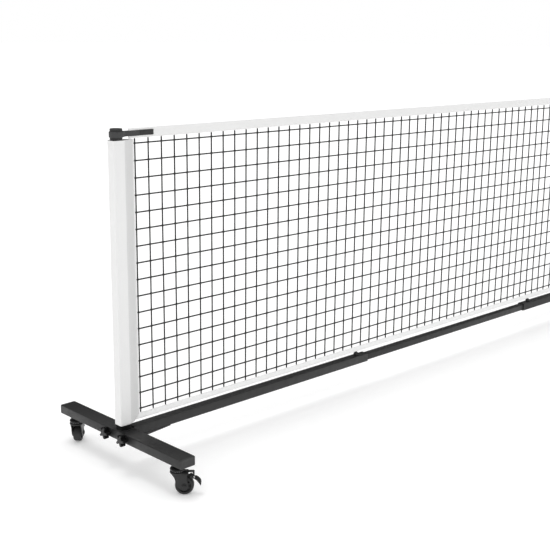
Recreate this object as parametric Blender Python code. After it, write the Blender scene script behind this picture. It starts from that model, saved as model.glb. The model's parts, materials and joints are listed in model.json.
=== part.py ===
"""Portable wheeled pickleball net, 22 ft class: steel frame, casters and net.

Metres, +Z up, X along the net, Y across it, origin on the floor under the
middle of the net.  Each end of the frame is described once in its own end
frame (origin on the floor under the post, +x towards the middle of the net)
and placed twice, the second time turned half a turn about the vertical.
"""
import math

import bmesh
import bpy
from mathutils import Matrix, Vector

MM = 0.001

# ---------------------------------------------------------------- dimensions
# all in millimetres
POST_X = 3358.0            # post axis from the middle of the net
POST_R = 16.0              # round post, 32 mm
POST_WALL = 1.5
POST_Z0 = 88.0
POST_Z1 = 910.6
CAP_TOP = 913.8            # top of the post cap

BEAM_W = 48.0              # foot beam section
BEAM_H = 26.0
BEAM_WALL = 1.8
BEAM_Z0 = 83.5             # underside of the foot beam
BEAM_END = 268.0           # tube end, from the net's plane
CAP_T = 2.4                # end cap flange
HUB_Y = 20.0               # half length of the tee's core
STUB_Y = 64.0              # end of the tee's stubs inside the beam tubes
KNOB_Y = 37.5              # star knobs, from the net's plane

RAIL_Z = 98.0              # centre of the bottom rail
RAIL_OUT = 28.0            # outer rail tube, square
RAIL_OUT_WALL = 2.4
RAIL_IN = 22.4             # inner rail tube, square
RAIL_IN_WALL = 1.5
A_X0, A_X1 = 24.4, 988.0   # end section, end frame
OVERLAP = 90.0
EXPOSED = 940.0
C_LEN = 960.0
C_X0 = A_X1 + EXPOSED
C_X1 = C_X0 + C_LEN
PIN_X = (943.4, 1975.0, 2843.4)   # lock screws, end frame
BOSS_H = 2.0               # threaded boss under each lock screw
PIN_R = 3.0
PIN_HOLE_R = 3.4

SLEEVE_Z0, SLEEVE_Z1 = 125.0, 884.4
SLEEVE_HX, SLEEVE_HY = 20.5, 17.8
SLEEVE_BORE = 16.5
FOLD_X, SIDE_X1 = 13.4, 49.5   # slanted sides run from the fold to the hem
BAND_X1 = 53.6             # side band's free edge, end frame
BAND_T = 2.4
TAPE_TOP_Z = (886.0, 912.0)
TAPE_TOP_X0 = 38.5
TAPE_T = 3.0
TAPE_BOT_Z = (124.5, 141.4)
TAPE_BOT_X0 = 27.2
NET_T = 1.0
STRAP_Z = (892.0, 906.2)
STRAP_X1 = 116.5

CASTER_Y = 228.0
TRAIL = 18.0
WHEEL_R = 24.5
WHEEL_W = 22.0
AXLE_R = 3.9
HEAD_R = 19.5
# heading of the trail, degrees from the end frame's +x
HEADING = {"f": -44.4, "b": 44.0}
PEDAL_PIVOT = (34.5, 49.4)      # in the caster frame, on the fork's tail

# ---------------------------------------------------------------- materials


def material(name, rgb, rough, metal=0.0):
    m = bpy.data.materials.new(name)
    m.use_nodes = True
    b = m.node_tree.nodes["Principled BSDF"]
    b.inputs["Base Color"].default_value = (*rgb, 1.0)
    b.inputs["Roughness"].default_value = rough
    b.inputs["Metallic"].default_value = metal
    return m


# ---------------------------------------------------------------- mesh tools


def rounded_rect(w, h, r, seg=2, cx=0.0, cy=0.0, radii=None):
    """Counter-clockwise outline; radii gives (++, -+, --, +-) corner radii."""
    rr = radii if radii else (r, r, r, r)
    pts = []
    for k, (sx, sy) in enumerate(((1, 1), (-1, 1), (-1, -1), (1, -1))):
        q = rr[k]
        ox, oy = cx + sx * (w / 2 - q), cy + sy * (h / 2 - q)
        n = seg if q > 0 else 0
        for i in range(n + 1):
            a = math.radians(90 * k + 90 * i / max(n, 1))
            pts.append((ox + q * math.cos(a), oy + q * math.sin(a)))
    return pts


def circle(r, n, cx=0.0, cy=0.0, phase=0.0):
    return [(cx + r * math.cos(2 * math.pi * (i + phase) / n),
             cy + r * math.sin(2 * math.pi * (i + phase) / n)) for i in range(n)]


def place(p, axis, a):
    """A point of an outline lifted to the height a along an axis."""
    u, v = p
    if axis == "x":
        return Vector((a, u, v)) * MM
    if axis == "y":
        return Vector((u, a, v)) * MM
    return Vector((u, v, a)) * MM


def mesh_from(bm, name):
    bmesh.ops.remove_doubles(bm, verts=bm.verts, dist=1e-7)
    bmesh.ops.recalc_face_normals(bm, faces=bm.faces)
    me = bpy.data.meshes.new(name)
    bm.to_mesh(me)
    bm.free()
    return me


def bm_prism(pts, axis, a0, a1):
    bm = bmesh.new()
    lo = [bm.verts.new(place(p, axis, a0)) for p in pts]
    hi = [bm.verts.new(place(p, axis, a1)) for p in pts]
    n = len(pts)
    for i in range(n):
        bm.faces.new((lo[i], lo[(i + 1) % n], hi[(i + 1) % n], hi[i]))
    bm.faces.new(lo[::-1])
    bm.faces.new(hi)
    return bm


def bm_tube(outer, inner, axis, a0, a1):
    """A straight tube open at both ends; outlines have the same point count."""
    bm = bmesh.new()
    n = len(outer)
    ring = []
    for pts in (outer, inner):
        for a in (a0, a1):
            ring.append([bm.verts.new(place(p, axis, a)) for p in pts])
    o0, o1, i0, i1 = ring
    for k in range(n):
        j = (k + 1) % n
        bm.faces.new((o0[k], o0[j], o1[j], o1[k]))
        bm.faces.new((i0[j], i0[k], i1[k], i1[j]))
        bm.faces.new((o1[k], o1[j], i1[j], i1[k]))
        bm.faces.new((o0[j], o0[k], i0[k], i0[j]))
    return bm


def bm_revolve(profile, n, axis="z", centre=(0.0, 0.0), phase=0.0, closed=False):
    """Turn (radius, height) points about an axis.

    An open profile starts and ends on the axis; a closed one is a ring."""
    bm = bmesh.new()
    rings = []
    for r, a in profile:
        if r < 1e-9:
            rings.append([bm.verts.new(place(centre, axis, a))])
        else:
            rings.append([bm.verts.new(place(p, axis, a))
                          for p in circle(r, n, centre[0], centre[1], phase)])
    pairs = list(zip(rings, rings[1:]))
    if closed:
        pairs.append((rings[-1], rings[0]))
    for ra, rb in pairs:
        for i in range(n):
            j = (i + 1) % n
            if len(ra) == 1 and len(rb) == 1:
                continue
            if len(ra) == 1:
                bm.faces.new((ra[0], rb[j], rb[i]))
            elif len(rb) == 1:
                bm.faces.new((ra[i], ra[j], rb[0]))
            else:
                bm.faces.new((ra[i], ra[j], rb[j], rb[i]))
    return bm


def combine(name, base, parts):
    """Boolean a list of ('UNION' or 'DIFFERENCE', bmesh) onto a base bmesh."""
    obj = bpy.data.objects.new(name + "_base", mesh_from(base, name))
    bpy.context.scene.collection.objects.link(obj)
    helpers = []
    for k, (op, bm) in enumerate(parts):
        c = bpy.data.objects.new("%s_tool_%d" % (name, k), mesh_from(bm, name + "_t"))
        c.hide_render = True
        c.display_type = "WIRE"
        bpy.context.scene.collection.objects.link(c)
        helpers.append(c)
        m = obj.modifiers.new("cut_%d" % k, "BOOLEAN")
        m.operation = op
        m.solver = "EXACT"
        m.object = c
    dg = bpy.context.evaluated_depsgraph_get()
    me = bpy.data.meshes.new_from_object(obj.evaluated_get(dg))
    me.name = name
    for o in helpers + [obj]:
        bpy.data.objects.remove(o)
    # flat faces stay whole where they can: dissolve the seams the cuts left
    bm = bmesh.new()
    bm.from_mesh(me)
    bmesh.ops.remove_doubles(bm, verts=bm.verts, dist=1e-6)
    bmesh.ops.dissolve_limit(bm, angle_limit=math.radians(0.2),
                             verts=bm.verts, edges=bm.edges)
    bmesh.ops.triangulate(bm, faces=bm.faces)
    bm.to_mesh(me)
    bm.free()
    return me


def add(name, mesh, mat, matrix=None, smooth=40.0):
    obj = bpy.data.objects.new(name, mesh)
    bpy.context.scene.collection.objects.link(obj)
    if not mesh.materials:
        mesh.materials.append(mat)
    if matrix is not None:
        obj.matrix_world = matrix
    if smooth:
        mesh.shade_smooth()
        mesh.set_sharp_from_angle(angle=math.radians(smooth))
    return obj


def shift(x=0.0, y=0.0, z=0.0):
    return Matrix.Translation(Vector((x, y, z)) * MM)


def turn(deg, axis="Z"):
    return Matrix.Rotation(math.radians(deg), 4, axis)


LEFT = shift(x=-POST_X)
RIGHT = shift(x=POST_X) @ turn(180)
ENDS = (("l", LEFT), ("r", RIGHT))


def side_name(end, y_sign):
    """f is the -Y side and b the +Y side of the whole net."""
    if end == "l":
        return end + ("f" if y_sign < 0 else "b")
    return end + ("b" if y_sign < 0 else "f")


# ---------------------------------------------------------------- the frame


def make_hub():
    """Welded tee: core under the post, stubs for the two beam tubes and the
    rail, post socket on top, and a tapered web under the rail's end."""
    zc = BEAM_Z0 + BEAM_H / 2
    core = bm_prism(rounded_rect(BEAM_W, BEAM_H, 1.5, 1, 0, zc), "y", -HUB_Y, HUB_Y)
    iw, ih = BEAM_W - 2 * BEAM_WALL - 0.8, BEAM_H - 2 * BEAM_WALL - 0.8
    stub = bm_prism(rounded_rect(iw, ih, 1.0, 1, 0, zc), "y", -STUB_Y, STUB_Y)
    hollow_w, hollow_h = iw - 6.0, ih - 6.0
    parts = [("UNION", stub)]
    for s in (-1, 1):
        parts.append(("DIFFERENCE", bm_prism(
            rounded_rect(hollow_w, hollow_h, 0, 1, 0, zc), "y",
            s * (HUB_Y + 2.0), s * (STUB_Y + 5.0))))
        # threaded hole for the star knob's bolt, in the outer wall
        parts.append(("DIFFERENCE", bm_prism(
            circle(4.4, 12, s * KNOB_Y, zc), "x", -BEAM_W, -hollow_w / 2 + 3.0)))
    # stub and web that carry the rail
    parts.append(("UNION", bm_prism(
        rounded_rect(RAIL_IN, RAIL_IN, 1.0, 1, 0, RAIL_Z), "x", 20.0, 110.0)))
    z_low = RAIL_Z - RAIL_OUT / 2
    web = [(8.0, BEAM_Z0 + 4.0), (8.0, 77.0), (74.0, 77.0),
           (156.0, z_low - 0.8), (156.0, z_low - 0.3), (23.9, z_low - 0.3),
           (23.9, BEAM_Z0 + 4.0)]
    parts.append(("UNION", bm_prism(web, "y", -13.9, 13.9)))
    # post socket
    parts.append(("UNION", bm_prism(circle(19.6, 24), "z", zc, 121.5)))
    parts.append(("DIFFERENCE", bm_prism(circle(POST_R + 0.5, 24), "z",
                                         POST_Z0 - 0.5, 140.0)))
    return combine("hub", core, parts)


def make_beam_tube():
    """Half of the foot beam, along +y in its own frame (y = 0 at the net)."""
    zc = BEAM_Z0 + BEAM_H / 2
    tube = bm_tube(rounded_rect(BEAM_W, BEAM_H, 2.0, 1, 0, zc),
                   rounded_rect(BEAM_W - 2 * BEAM_WALL, BEAM_H - 2 * BEAM_WALL,
                                0.6, 1, 0, zc), "y", HUB_Y + 0.4, BEAM_END)
    parts = [("DIFFERENCE", bm_prism(circle(4.4, 12, KNOB_Y, zc), "x",
                                     -BEAM_W, -BEAM_W / 2 + 6.0)),
             ("DIFFERENCE", bm_prism(circle(5.4, 12, 0.0, CASTER_Y), "z",
                                     BEAM_Z0 - 5.0, BEAM_Z0 + 6.0))]
    return combine("beam_tube", tube, parts)


def make_beam_cap():
    zc = BEAM_Z0 + BEAM_H / 2
    y0 = BEAM_END + 0.3
    rings = []
    bm = bmesh.new()
    for w, h, r, y in ((43.4, 21.4, 1.5, y0 - 13.0), (43.8, 21.8, 1.5, y0 - 10.0),
                       (43.8, 21.8, 1.5, y0), (BEAM_W, BEAM_H, 3.5, y0),
                       (BEAM_W, BEAM_H, 3.5, y0 + CAP_T - 0.9),
                       (BEAM_W - 2.4, BEAM_H - 2.4, 2.6, y0 + CAP_T)):
        rings.append([bm.verts.new(place(p, "y", y))
                      for p in rounded_rect(w, h, r, 2, 0, zc)])
    n = len(rings[0])
    for ra, rb in zip(rings, rings[1:]):
        for i in range(n):
            j = (i + 1) % n
            bm.faces.new((ra[i], ra[j], rb[j], rb[i]))
    bm.faces.new(rings[0][::-1])
    bm.faces.new(rings[-1])
    return mesh_from(bm, "beam_cap")


def make_post():
    n = 24
    return mesh_from(bm_tube(circle(POST_R, n), circle(POST_R - POST_WALL, n),
                             "z", POST_Z0, POST_Z1), "post")


def make_post_cap():
    z = POST_Z1 + 0.3
    ri = POST_R - POST_WALL - 0.4
    prof = [(0, z - 10.0), (ri, z - 10.0), (ri, z),
            (POST_R, z), (POST_R, CAP_TOP - 1.1), (POST_R - 1.2, CAP_TOP), (0, CAP_TOP)]
    return mesh_from(bm_revolve(prof, 24), "post_cap")


def rail_tube(size, wall, x0, x1, holes, bosses, name):
    outer = rounded_rect(size, size, 1.8, 1, 0, RAIL_Z)
    inner = rounded_rect(size - 2 * wall, size - 2 * wall, 0.6, 1, 0, RAIL_Z)
    base = bm_tube(outer, inner, "x", x0, x1)
    top = RAIL_Z + size / 2
    parts = []
    for x in bosses:
        parts.append(("UNION", bm_prism(circle(7.0, 12, x, 0.0), "z",
                                        top - wall + 0.6, top + BOSS_H)))
    for x in list(holes) + list(bosses):
        parts.append(("DIFFERENCE", bm_prism(circle(PIN_HOLE_R, 10, x, 0.0), "z",
                                             top - wall - 3.0, top + 8.0)))
    return combine(name, base, parts)


def make_lock_screw():
    """Low conical thumb screw; its own frame has z = 0 at the rail's top face
    and the screw's axis along z."""
    z0 = BOSS_H + 0.3
    prof = [(0, -8.4), (PIN_R - 0.8, -8.4), (PIN_R, -7.4), (PIN_R, z0),
            (7.8, z0), (8.8, z0 + 1.0), (8.8, z0 + 3.0), (5.2, z0 + 7.6),
            (3.2, z0 + 9.2), (0, z0 + 9.6)]
    return mesh_from(bm_revolve(prof, 10), "lock_screw")


# ---------------------------------------------------------------- star knob


def make_star_knob(shank):
    """Five-lobe knob; its own frame has +x out of the face it sits on."""
    lobes, per = 5, 4
    n = lobes * per
    r_out, r_in = 17.5, 12.4

    def star(scale, blend=1.0):
        pts = []
        for i in range(n):
            a = 2 * math.pi * i / n
            c = 0.5 + 0.5 * math.cos(lobes * a)
            r = r_in + (r_out - r_in) * (c ** 0.75)
            r = (r * blend + 9.0 * (1 - blend)) * scale
            pts.append((r * math.cos(a), r * math.sin(a)))
        return pts

    bm = bmesh.new()
    sections = [(circle(4.0, n), -shank), (circle(4.0, n), 0.4),
                (circle(8.0, n), 0.4), (circle(8.0, n), 5.0),
                (star(1.0), 7.0), (star(1.0), 16.0), (star(0.80), 19.2)]
    rings = [[bm.verts.new(place(p, "x", x)) for p in pts] for pts, x in sections]
    for ra, rb in zip(rings, rings[1:]):
        for i in range(n):
            j = (i + 1) % n
            bm.faces.new((ra[i], ra[j], rb[j], rb[i]))
    bm.faces.new(rings[0][::-1])
    bm.faces.new(rings[-1])
    return mesh_from(bm, "star_knob")


# ---------------------------------------------------------------- casters
# Caster frame: z up from the floor, origin on the swivel axis, +x the trail.


def make_caster_mount():
    """Flange, nut and threaded stem, fixed in the beam's underside."""
    z = BEAM_Z0 - 0.3
    flange = bm_revolve([(0, 73.0), (7.0, 73.0), (7.0, 76.2), (18.0, 79.8),
                         (18.0, z), (0, z)], 16)
    nut = bm_prism(circle(11.0, 6), "z", 74.6, z - 1.0)
    stem = bm_prism(circle(5.0, 10), "z", z - 2.0, BEAM_Z0 + 12.0)
    return combine("caster_mount", flange, [("UNION", nut), ("UNION", stem)])


def make_fork():
    # swivel head: race cover, ball race and crown, turned
    head = bm_revolve([(0, 57.6), (HEAD_R, 57.6), (HEAD_R, 61.6), (18.0, 62.4),
                       (15.2, 62.8), (15.2, 66.4), (HEAD_R, 67.0),
                       (HEAD_R - 1.0, 71.2), (15.0, 72.6),
                       (0, 72.6)], 18)
    parts = []
    # crown plate out over the wheel
    crown = [(-4.0, -15.0), (26.2, -15.0), (28.5, -11.0), (28.5, 11.0),
             (26.2, 15.0), (-4.0, 15.0)]
    parts.append(("UNION", bm_prism(crown, "z", 57.6, 60.4)))
    # the two legs
    leg = [(-15.4, 58.8), (-13.0, 55.8), (-8.4, 50.0), (-5.4, 43.4), (-4.2, 35.0),
           (0.0, 24.0), (7.5, 16.0), (16.5, 13.2), (24.5, 15.2), (28.6, 22.0),
           (27.6, 34.0), (25.6, 44.0), (25.6, 58.8)]
    for s in (-1, 1):
        y0, y1 = sorted((s * 12.5, s * 15.0))
        parts.append(("UNION", bm_prism(leg, "y", y0, y1)))
    # tail that carries the pedal, and the open catch standing on it
    parts.append(("UNION", bm_prism([(24.6, 58.2), (24.6, 50.4), (28.5, 48.9),
                                     (33.0, 46.9), (41.6, 46.9), (41.6, 52.0),
                                     (28.2, 52.0), (28.2, 58.2)], "y", -4.9, 4.9)))
    parts.append(("UNION", bm_prism([(17.5, 59.8), (39.6, 59.8), (39.6, 50.2),
                                     (43.9, 50.2), (43.9, 62.8), (17.5, 62.8)],
                                    "y", -5.0, 5.0)))
    parts.append(("UNION", bm_prism(circle(2.1, 10, *PEDAL_PIVOT), "y", -8.0, 8.0)))
    # axle with its two heads
    parts.append(("UNION", bm_prism(circle(AXLE_R, 10, TRAIL, WHEEL_R), "y",
                                    -14.0, 14.0)))
    for s in (-1, 1):
        y0, y1 = sorted((s * 14.0, s * 16.8))
        parts.append(("UNION", bm_prism(circle(6.2, 8, TRAIL, WHEEL_R), "y",
                                        y0, y1)))
    return combine("fork", head, parts)


def make_wheel():
    """Tyre, rim and hub; origin on the axle, turned about y."""
    n = 18
    k = 1.0 / math.cos(math.pi / n)      # flats, not corners, at the radius
    half = [(4.4, 11.4), (9.0, 11.4), (9.6, 7.0), (16.4, 7.0), (17.2, 10.6),
            (22.6, 10.6), (WHEEL_R * k, 6.4)]
    prof = [(r, -w) for r, w in half] + [(r, w) for r, w in reversed(half)]
    return mesh_from(bm_revolve(prof, n, "y", closed=True, phase=0.5), "wheel")


def make_pedal():
    """Foot lever on the fork's tail: two cheeks and a curved pad; origin on its
    pivot, axis along y."""
    px, pz = PEDAL_PIVOT
    pad = [(44.6, 46.3), (44.6, 42.4), (48.2, 40.0), (52.4, 36.0), (56.0, 31.4),
           (58.6, 26.4), (59.6, 25.2), (60.6, 26.2), (61.0, 30.0), (60.2, 34.2),
           (57.2, 38.8), (53.0, 43.0), (48.5, 45.8)]
    cheek = [(30.8, 50.5), (30.8, 47.6), (33.5, 45.6), (42.0, 43.2), (46.4, 42.4),
             (46.4, 45.6), (41.0, 47.6), (38.3, 50.8), (36.8, 52.7), (34.5, 53.2),
             (32.2, 52.7)]
    local = lambda pts: [(x - px, z - pz) for x, z in pts]
    parts = []
    for s in (-1, 1):
        y0, y1 = sorted((s * 5.4, s * 7.4))
        parts.append(("UNION", bm_prism(local(cheek), "y", y0, y1)))
    parts.append(("DIFFERENCE", bm_prism(circle(2.7, 10, 0.0, 0.0), "y", -9.0, 9.0)))
    return combine("pedal", bm_prism(local(pad), "y", -9.5, 9.5), parts)


# ---------------------------------------------------------------- the net


def make_sleeve():
    """Fabric pocket round the post; its sides run together into the flat hem
    that holds the mesh, and its foot stops short of the bottom tape."""
    hx, hy, t = SLEEVE_HX, SLEEVE_HY, BAND_T / 2
    fall = (hy - t) / (SIDE_X1 - FOLD_X)

    def outline(tip):
        pts = [(FOLD_X, hy)]
        # outer side: rounded towards the back, nearly square at the front
        for cy, r, a0 in ((1, 12.0, 90.0), (-1, 4.0, 180.0)):
            for i in range(5):
                a = math.radians(a0 + 22.5 * i)
                pts.append((-hx + r + r * math.cos(a),
                            cy * (hy - r) + r * math.sin(a)))
        pts.append((FOLD_X, -hy))
        return pts + [(x, -y) for x, y in tip] + [(x, y) for x, y in tip[::-1]]

    x_cut = TAPE_BOT_X0 - 0.4
    z_cut = TAPE_BOT_Z[1] + 0.4
    foot = bm_prism(outline([(x_cut, hy - fall * (x_cut - FOLD_X))]),
                    "z", SLEEVE_Z0, z_cut + 0.5)
    body = bm_prism(outline([(SIDE_X1, t), (BAND_X1, t)]), "z", z_cut, SLEEVE_Z1)
    bore = bm_prism(circle(SLEEVE_BORE, 28), "z", 0.0, 1000.0)
    return combine("sleeve", body, [("UNION", foot), ("DIFFERENCE", bore)])


def make_strap():
    """Hook-and-loop strap: round the post and along both faces of the tape."""
    r0, r1 = POST_R + 0.5, POST_R + 2.6
    y_in, y_out = TAPE_T / 2 + 0.4, TAPE_T / 2 + 2.0
    # the legs leave the loop on a straight line to the tape's end
    x_t = TAPE_TOP_X0 - 4.0

    def loop(r, y_leg):
        pts = []
        a0 = math.acos(min(1.0, r / math.hypot(x_t, y_leg)))
        base = math.atan2(y_leg, x_t)
        start = base + a0
        steps = 18
        end = 2 * math.pi - start
        for i in range(steps + 1):
            a = start + (end - start) * i / steps
            pts.append((r * math.cos(a), r * math.sin(a)))
        return pts

    outer = [(STRAP_X1, y_out), (x_t, y_out)] + loop(r1, y_out) + \
            [(x_t, -y_out), (STRAP_X1, -y_out)]
    inner = [(STRAP_X1, y_in), (x_t, y_in)] + loop(r0, y_in) + \
            [(x_t, -y_in), (STRAP_X1, -y_in)]
    bm = bmesh.new()
    n = len(outer)
    o0, o1, i0, i1 = [[bm.verts.new(place(p, "z", z)) for p in pts]
                      for pts in (outer, inner) for z in STRAP_Z]
    for k in range(n - 1):
        bm.faces.new((o0[k], o0[k + 1], o1[k + 1], o1[k]))
        bm.faces.new((i0[k + 1], i0[k], i1[k], i1[k + 1]))
        bm.faces.new((o1[k], o1[k + 1], i1[k + 1], i1[k]))
        bm.faces.new((o0[k + 1], o0[k], i0[k], i0[k + 1]))
    for k in (0, n - 1):
        bm.faces.new((o0[k], o1[k], i1[k], i0[k]))
    return mesh_from(bm, "strap")


def long_strip(x_half, z0, z1, thick, name):
    t = thick / 2
    r = min(0.8, t * 0.6)
    outline = rounded_rect(thick, z1 - z0, r, 1, 0, (z0 + z1) / 2)
    return mesh_from(bm_prism(outline, "x", -x_half, x_half), name)


# ---------------------------------------------------------------- centre foot


def make_centre_stand():
    """Base plate, short upright and U saddle under the middle rail tube."""
    half = RAIL_IN / 2
    plate = bm_prism(rounded_rect(44.0, 80.0, 3.0, 1), "z", 35.4, 38.4)
    parts = [
        ("UNION", bm_prism(rounded_rect(28.0, 26.0, 2.0, 1), "z", 37.0, 83.0)),
        ("UNION", bm_prism([(-14.6, 80.0), (14.6, 80.0), (14.6, 108.0),
                            (half + 0.4, 108.0), (half + 0.4, RAIL_Z - half - 0.4),
                            (-half - 0.4, RAIL_Z - half - 0.4),
                            (-half - 0.4, 108.0), (-14.6, 108.0)],
                           "x", -22.0, 22.0)),
        ("DIFFERENCE", bm_prism(circle(4.4, 12, 0.0, RAIL_Z), "y", -20.0, -8.0)),
    ]
    return combine("centre_stand", plate, parts)


def make_centre_bar():
    zc = 9.0 + BEAM_H / 2
    return mesh_from(bm_tube(rounded_rect(BEAM_W, BEAM_H, 2.2, 2, 0, zc),
                             rounded_rect(BEAM_W - 3.6, BEAM_H - 3.6, 0.9, 2, 0, zc),
                             "y", -230.0, 230.0), "centre_foot_bar")


def make_boot():
    """Rubber boot over the bar's end, standing on the floor; end at +y."""
    body = bm_prism(rounded_rect(54.0, 38.6, 4.0, 2, 0, 19.3), "y", 192.0, 234.0)
    zc = 9.0 + BEAM_H / 2
    pocket = bm_prism(rounded_rect(BEAM_W + 0.8, BEAM_H + 0.8, 2.2, 2, 0, zc),
                      "y", 180.0, 230.5)
    return combine("foot_boot", body, [("DIFFERENCE", pocket)])


# ---------------------------------------------------------------- build it


def build():
    for o in list(bpy.data.objects):
        bpy.data.objects.remove(o)

    steel = material("powder_coated_steel", (0.060, 0.060, 0.061), 0.48, 0.35)
    dark = material("black_plastic", (0.030, 0.030, 0.031), 0.42)
    zinc = material("dark_plated_steel", (0.075, 0.075, 0.078), 0.40, 0.7)
    tyre = material("black_wheel", (0.040, 0.040, 0.041), 0.55)
    white = material("white_binding", (0.86, 0.86, 0.85), 0.85)
    cord = material("black_net_cord", (0.035, 0.035, 0.037), 0.80)
    strap = material("black_strap", (0.050, 0.050, 0.052), 0.90)
    rubber = material("black_rubber", (0.028, 0.028, 0.028), 0.80)

    zc = BEAM_Z0 + BEAM_H / 2
    meshes = {
        "hub": make_hub(), "tube": make_beam_tube(), "cap": make_beam_cap(),
        "post": make_post(), "pcap": make_post_cap(),
        "rail_a": rail_tube(RAIL_OUT, RAIL_OUT_WALL, A_X0, A_X1, (),
                            (PIN_X[0],), "rail_a"),
        "rail_b": rail_tube(RAIL_IN, RAIL_IN_WALL, A_X1 - OVERLAP,
                            C_X0 + OVERLAP, (PIN_X[0], PIN_X[1]), (), "rail_b"),
        "rail_c": rail_tube(RAIL_OUT, RAIL_OUT_WALL, C_X0, C_X1, (),
                            (PIN_X[1], PIN_X[2]), "rail_c"),
        "pin": make_lock_screw(), "knob": make_star_knob(27.0),
        "mount": make_caster_mount(), "fork": make_fork(), "wheel": make_wheel(),
        "pedal": make_pedal(), "sleeve": make_sleeve(), "strap": make_strap(),
    }

    for end, frame in ENDS:
        add("hub_" + end, meshes["hub"], steel, frame, 30)
        add("post_" + end, meshes["post"], steel, frame)
        add("post_cap_" + end, meshes["pcap"], dark, frame)
        add("rail_a_" + end, meshes["rail_a"], steel, frame, 30)
        add("rail_b_" + end, meshes["rail_b"], steel, frame, 30)
        add("rail_c_" + end, meshes["rail_c"], steel, frame, 30)
        for k, x in enumerate(PIN_X):
            add("lock_screw_%s%d" % (end, k + 1), meshes["pin"], dark,
                frame @ shift(x=x, z=RAIL_Z + RAIL_OUT / 2))
        for s in (-1, 1):
            tag = side_name(end, s)
            # the tube's mesh runs to +y with its knob hole on the outer face;
            # the other half is its mirror image across the net's plane
            half = frame @ (Matrix.Identity(4) if s > 0 else Matrix.Scale(-1, 4, (0, 1, 0)))
            for key, node, mat in (("tube", "beam_", steel), ("cap", "beam_cap_", dark)):
                me = meshes[key]
                if s < 0:
                    me = mirrored(me)
                add(node + tag, me, mat, frame, 30)
            add("star_knob_" + tag, meshes["knob"], dark,
                frame @ shift(x=-BEAM_W / 2, y=s * KNOB_Y, z=zc) @ turn(180), 35)
            at = frame @ shift(y=s * CASTER_Y)
            add("caster_mount_" + tag, meshes["mount"], zinc, at, 30)
            head = HEADING["f" if s < 0 else "b"]
            spin = at @ turn(head)
            add("caster_fork_" + tag, meshes["fork"], zinc, spin, 30)
            add("caster_wheel_" + tag, meshes["wheel"], tyre,
                spin @ shift(x=TRAIL, z=WHEEL_R), 40)
            add("caster_pedal_" + tag, meshes["pedal"], zinc,
                spin @ shift(x=PEDAL_PIVOT[0], z=PEDAL_PIVOT[1]), 40)
        add("net_sleeve_" + end, meshes["sleeve"], white, frame, 50)
        add("tension_strap_" + end, meshes["strap"], strap, frame, 50)

    # middle rail tube
    half_d = POST_X - C_X1 + OVERLAP
    add("rail_d", rail_tube(RAIL_IN, RAIL_IN_WALL, -half_d, half_d,
                            (POST_X - PIN_X[2], PIN_X[2] - POST_X), (), "rail_d"),
        steel, None, 30)

    # net panel and the two tapes
    add("net_mesh", long_strip(POST_X - BAND_X1 - 0.4, TAPE_BOT_Z[1] + 0.4,
                               TAPE_TOP_Z[0] - 0.4, NET_T, "net_mesh"), cord, None, 0)
    add("net_tape_top", long_strip(POST_X - TAPE_TOP_X0, TAPE_TOP_Z[0],
                                   TAPE_TOP_Z[1], TAPE_T, "net_tape_top"), white)
    add("net_tape_bottom", long_strip(POST_X - TAPE_BOT_X0, TAPE_BOT_Z[0],
                                      TAPE_BOT_Z[1], TAPE_T, "net_tape_bottom"), white)

    # foot under the middle of the rail
    add("centre_stand", make_centre_stand(), steel, None, 30)
    add("centre_foot_bar", make_centre_bar(), steel, None, 30)
    boot = make_boot()
    add("foot_boot_b", boot, rubber, None, 30)
    add("foot_boot_f", boot, rubber, turn(180), 30)
    add("centre_knob", make_star_knob(2.8), dark,
        shift(y=-14.6, z=RAIL_Z) @ turn(-90), 35)


def mirrored(me):
    """A copy of a mesh reflected across the net's plane (y to -y)."""
    bm = bmesh.new()
    bm.from_mesh(me)
    for v in bm.verts:
        v.co.y = -v.co.y
    bmesh.ops.reverse_faces(bm, faces=bm.faces)
    out = bpy.data.meshes.new(me.name + "_m")
    bm.to_mesh(out)
    bm.free()
    return out


build()
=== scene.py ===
"""Looks of the portable wheeled net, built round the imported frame.

Local shapes are in millimetres.  An end of the net has its own frame: origin
on the floor under the post, +x towards the middle of the net, +z up; the other
end is the same thing turned half a turn.  A caster has its frame on its swivel
axis, +x along the trail.
"""

import json
import math

import bpy
import numpy as np
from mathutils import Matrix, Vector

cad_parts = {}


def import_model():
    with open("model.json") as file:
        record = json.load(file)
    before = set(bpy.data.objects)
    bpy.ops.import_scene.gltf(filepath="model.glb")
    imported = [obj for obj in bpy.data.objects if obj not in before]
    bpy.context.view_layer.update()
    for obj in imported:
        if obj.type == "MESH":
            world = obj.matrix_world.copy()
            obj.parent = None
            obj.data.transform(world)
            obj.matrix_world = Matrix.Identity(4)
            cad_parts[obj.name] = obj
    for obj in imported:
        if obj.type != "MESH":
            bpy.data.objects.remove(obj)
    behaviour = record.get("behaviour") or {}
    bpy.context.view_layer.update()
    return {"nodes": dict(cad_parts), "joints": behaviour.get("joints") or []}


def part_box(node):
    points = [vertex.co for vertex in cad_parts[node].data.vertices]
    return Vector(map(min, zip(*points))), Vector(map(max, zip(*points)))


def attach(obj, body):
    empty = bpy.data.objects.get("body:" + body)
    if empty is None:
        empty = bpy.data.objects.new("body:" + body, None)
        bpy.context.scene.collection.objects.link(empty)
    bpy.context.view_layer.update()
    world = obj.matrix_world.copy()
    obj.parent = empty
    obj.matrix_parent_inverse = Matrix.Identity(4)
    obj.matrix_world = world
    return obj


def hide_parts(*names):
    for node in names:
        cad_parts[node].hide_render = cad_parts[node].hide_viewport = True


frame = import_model()

MM = 0.001


# ------------------------------------------------------------ frames in space

def shift(x=0.0, y=0.0, z=0.0):
    m = np.eye(4)
    m[:3, 3] = (x, y, z)
    return m


def turn(deg, axis="z"):
    a = math.radians(deg)
    c, s = math.cos(a), math.sin(a)
    m = np.eye(4)
    i, j = {"x": (1, 2), "y": (2, 0), "z": (0, 1)}[axis]
    m[i, i], m[i, j], m[j, i], m[j, j] = c, -s, s, c
    return m


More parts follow.
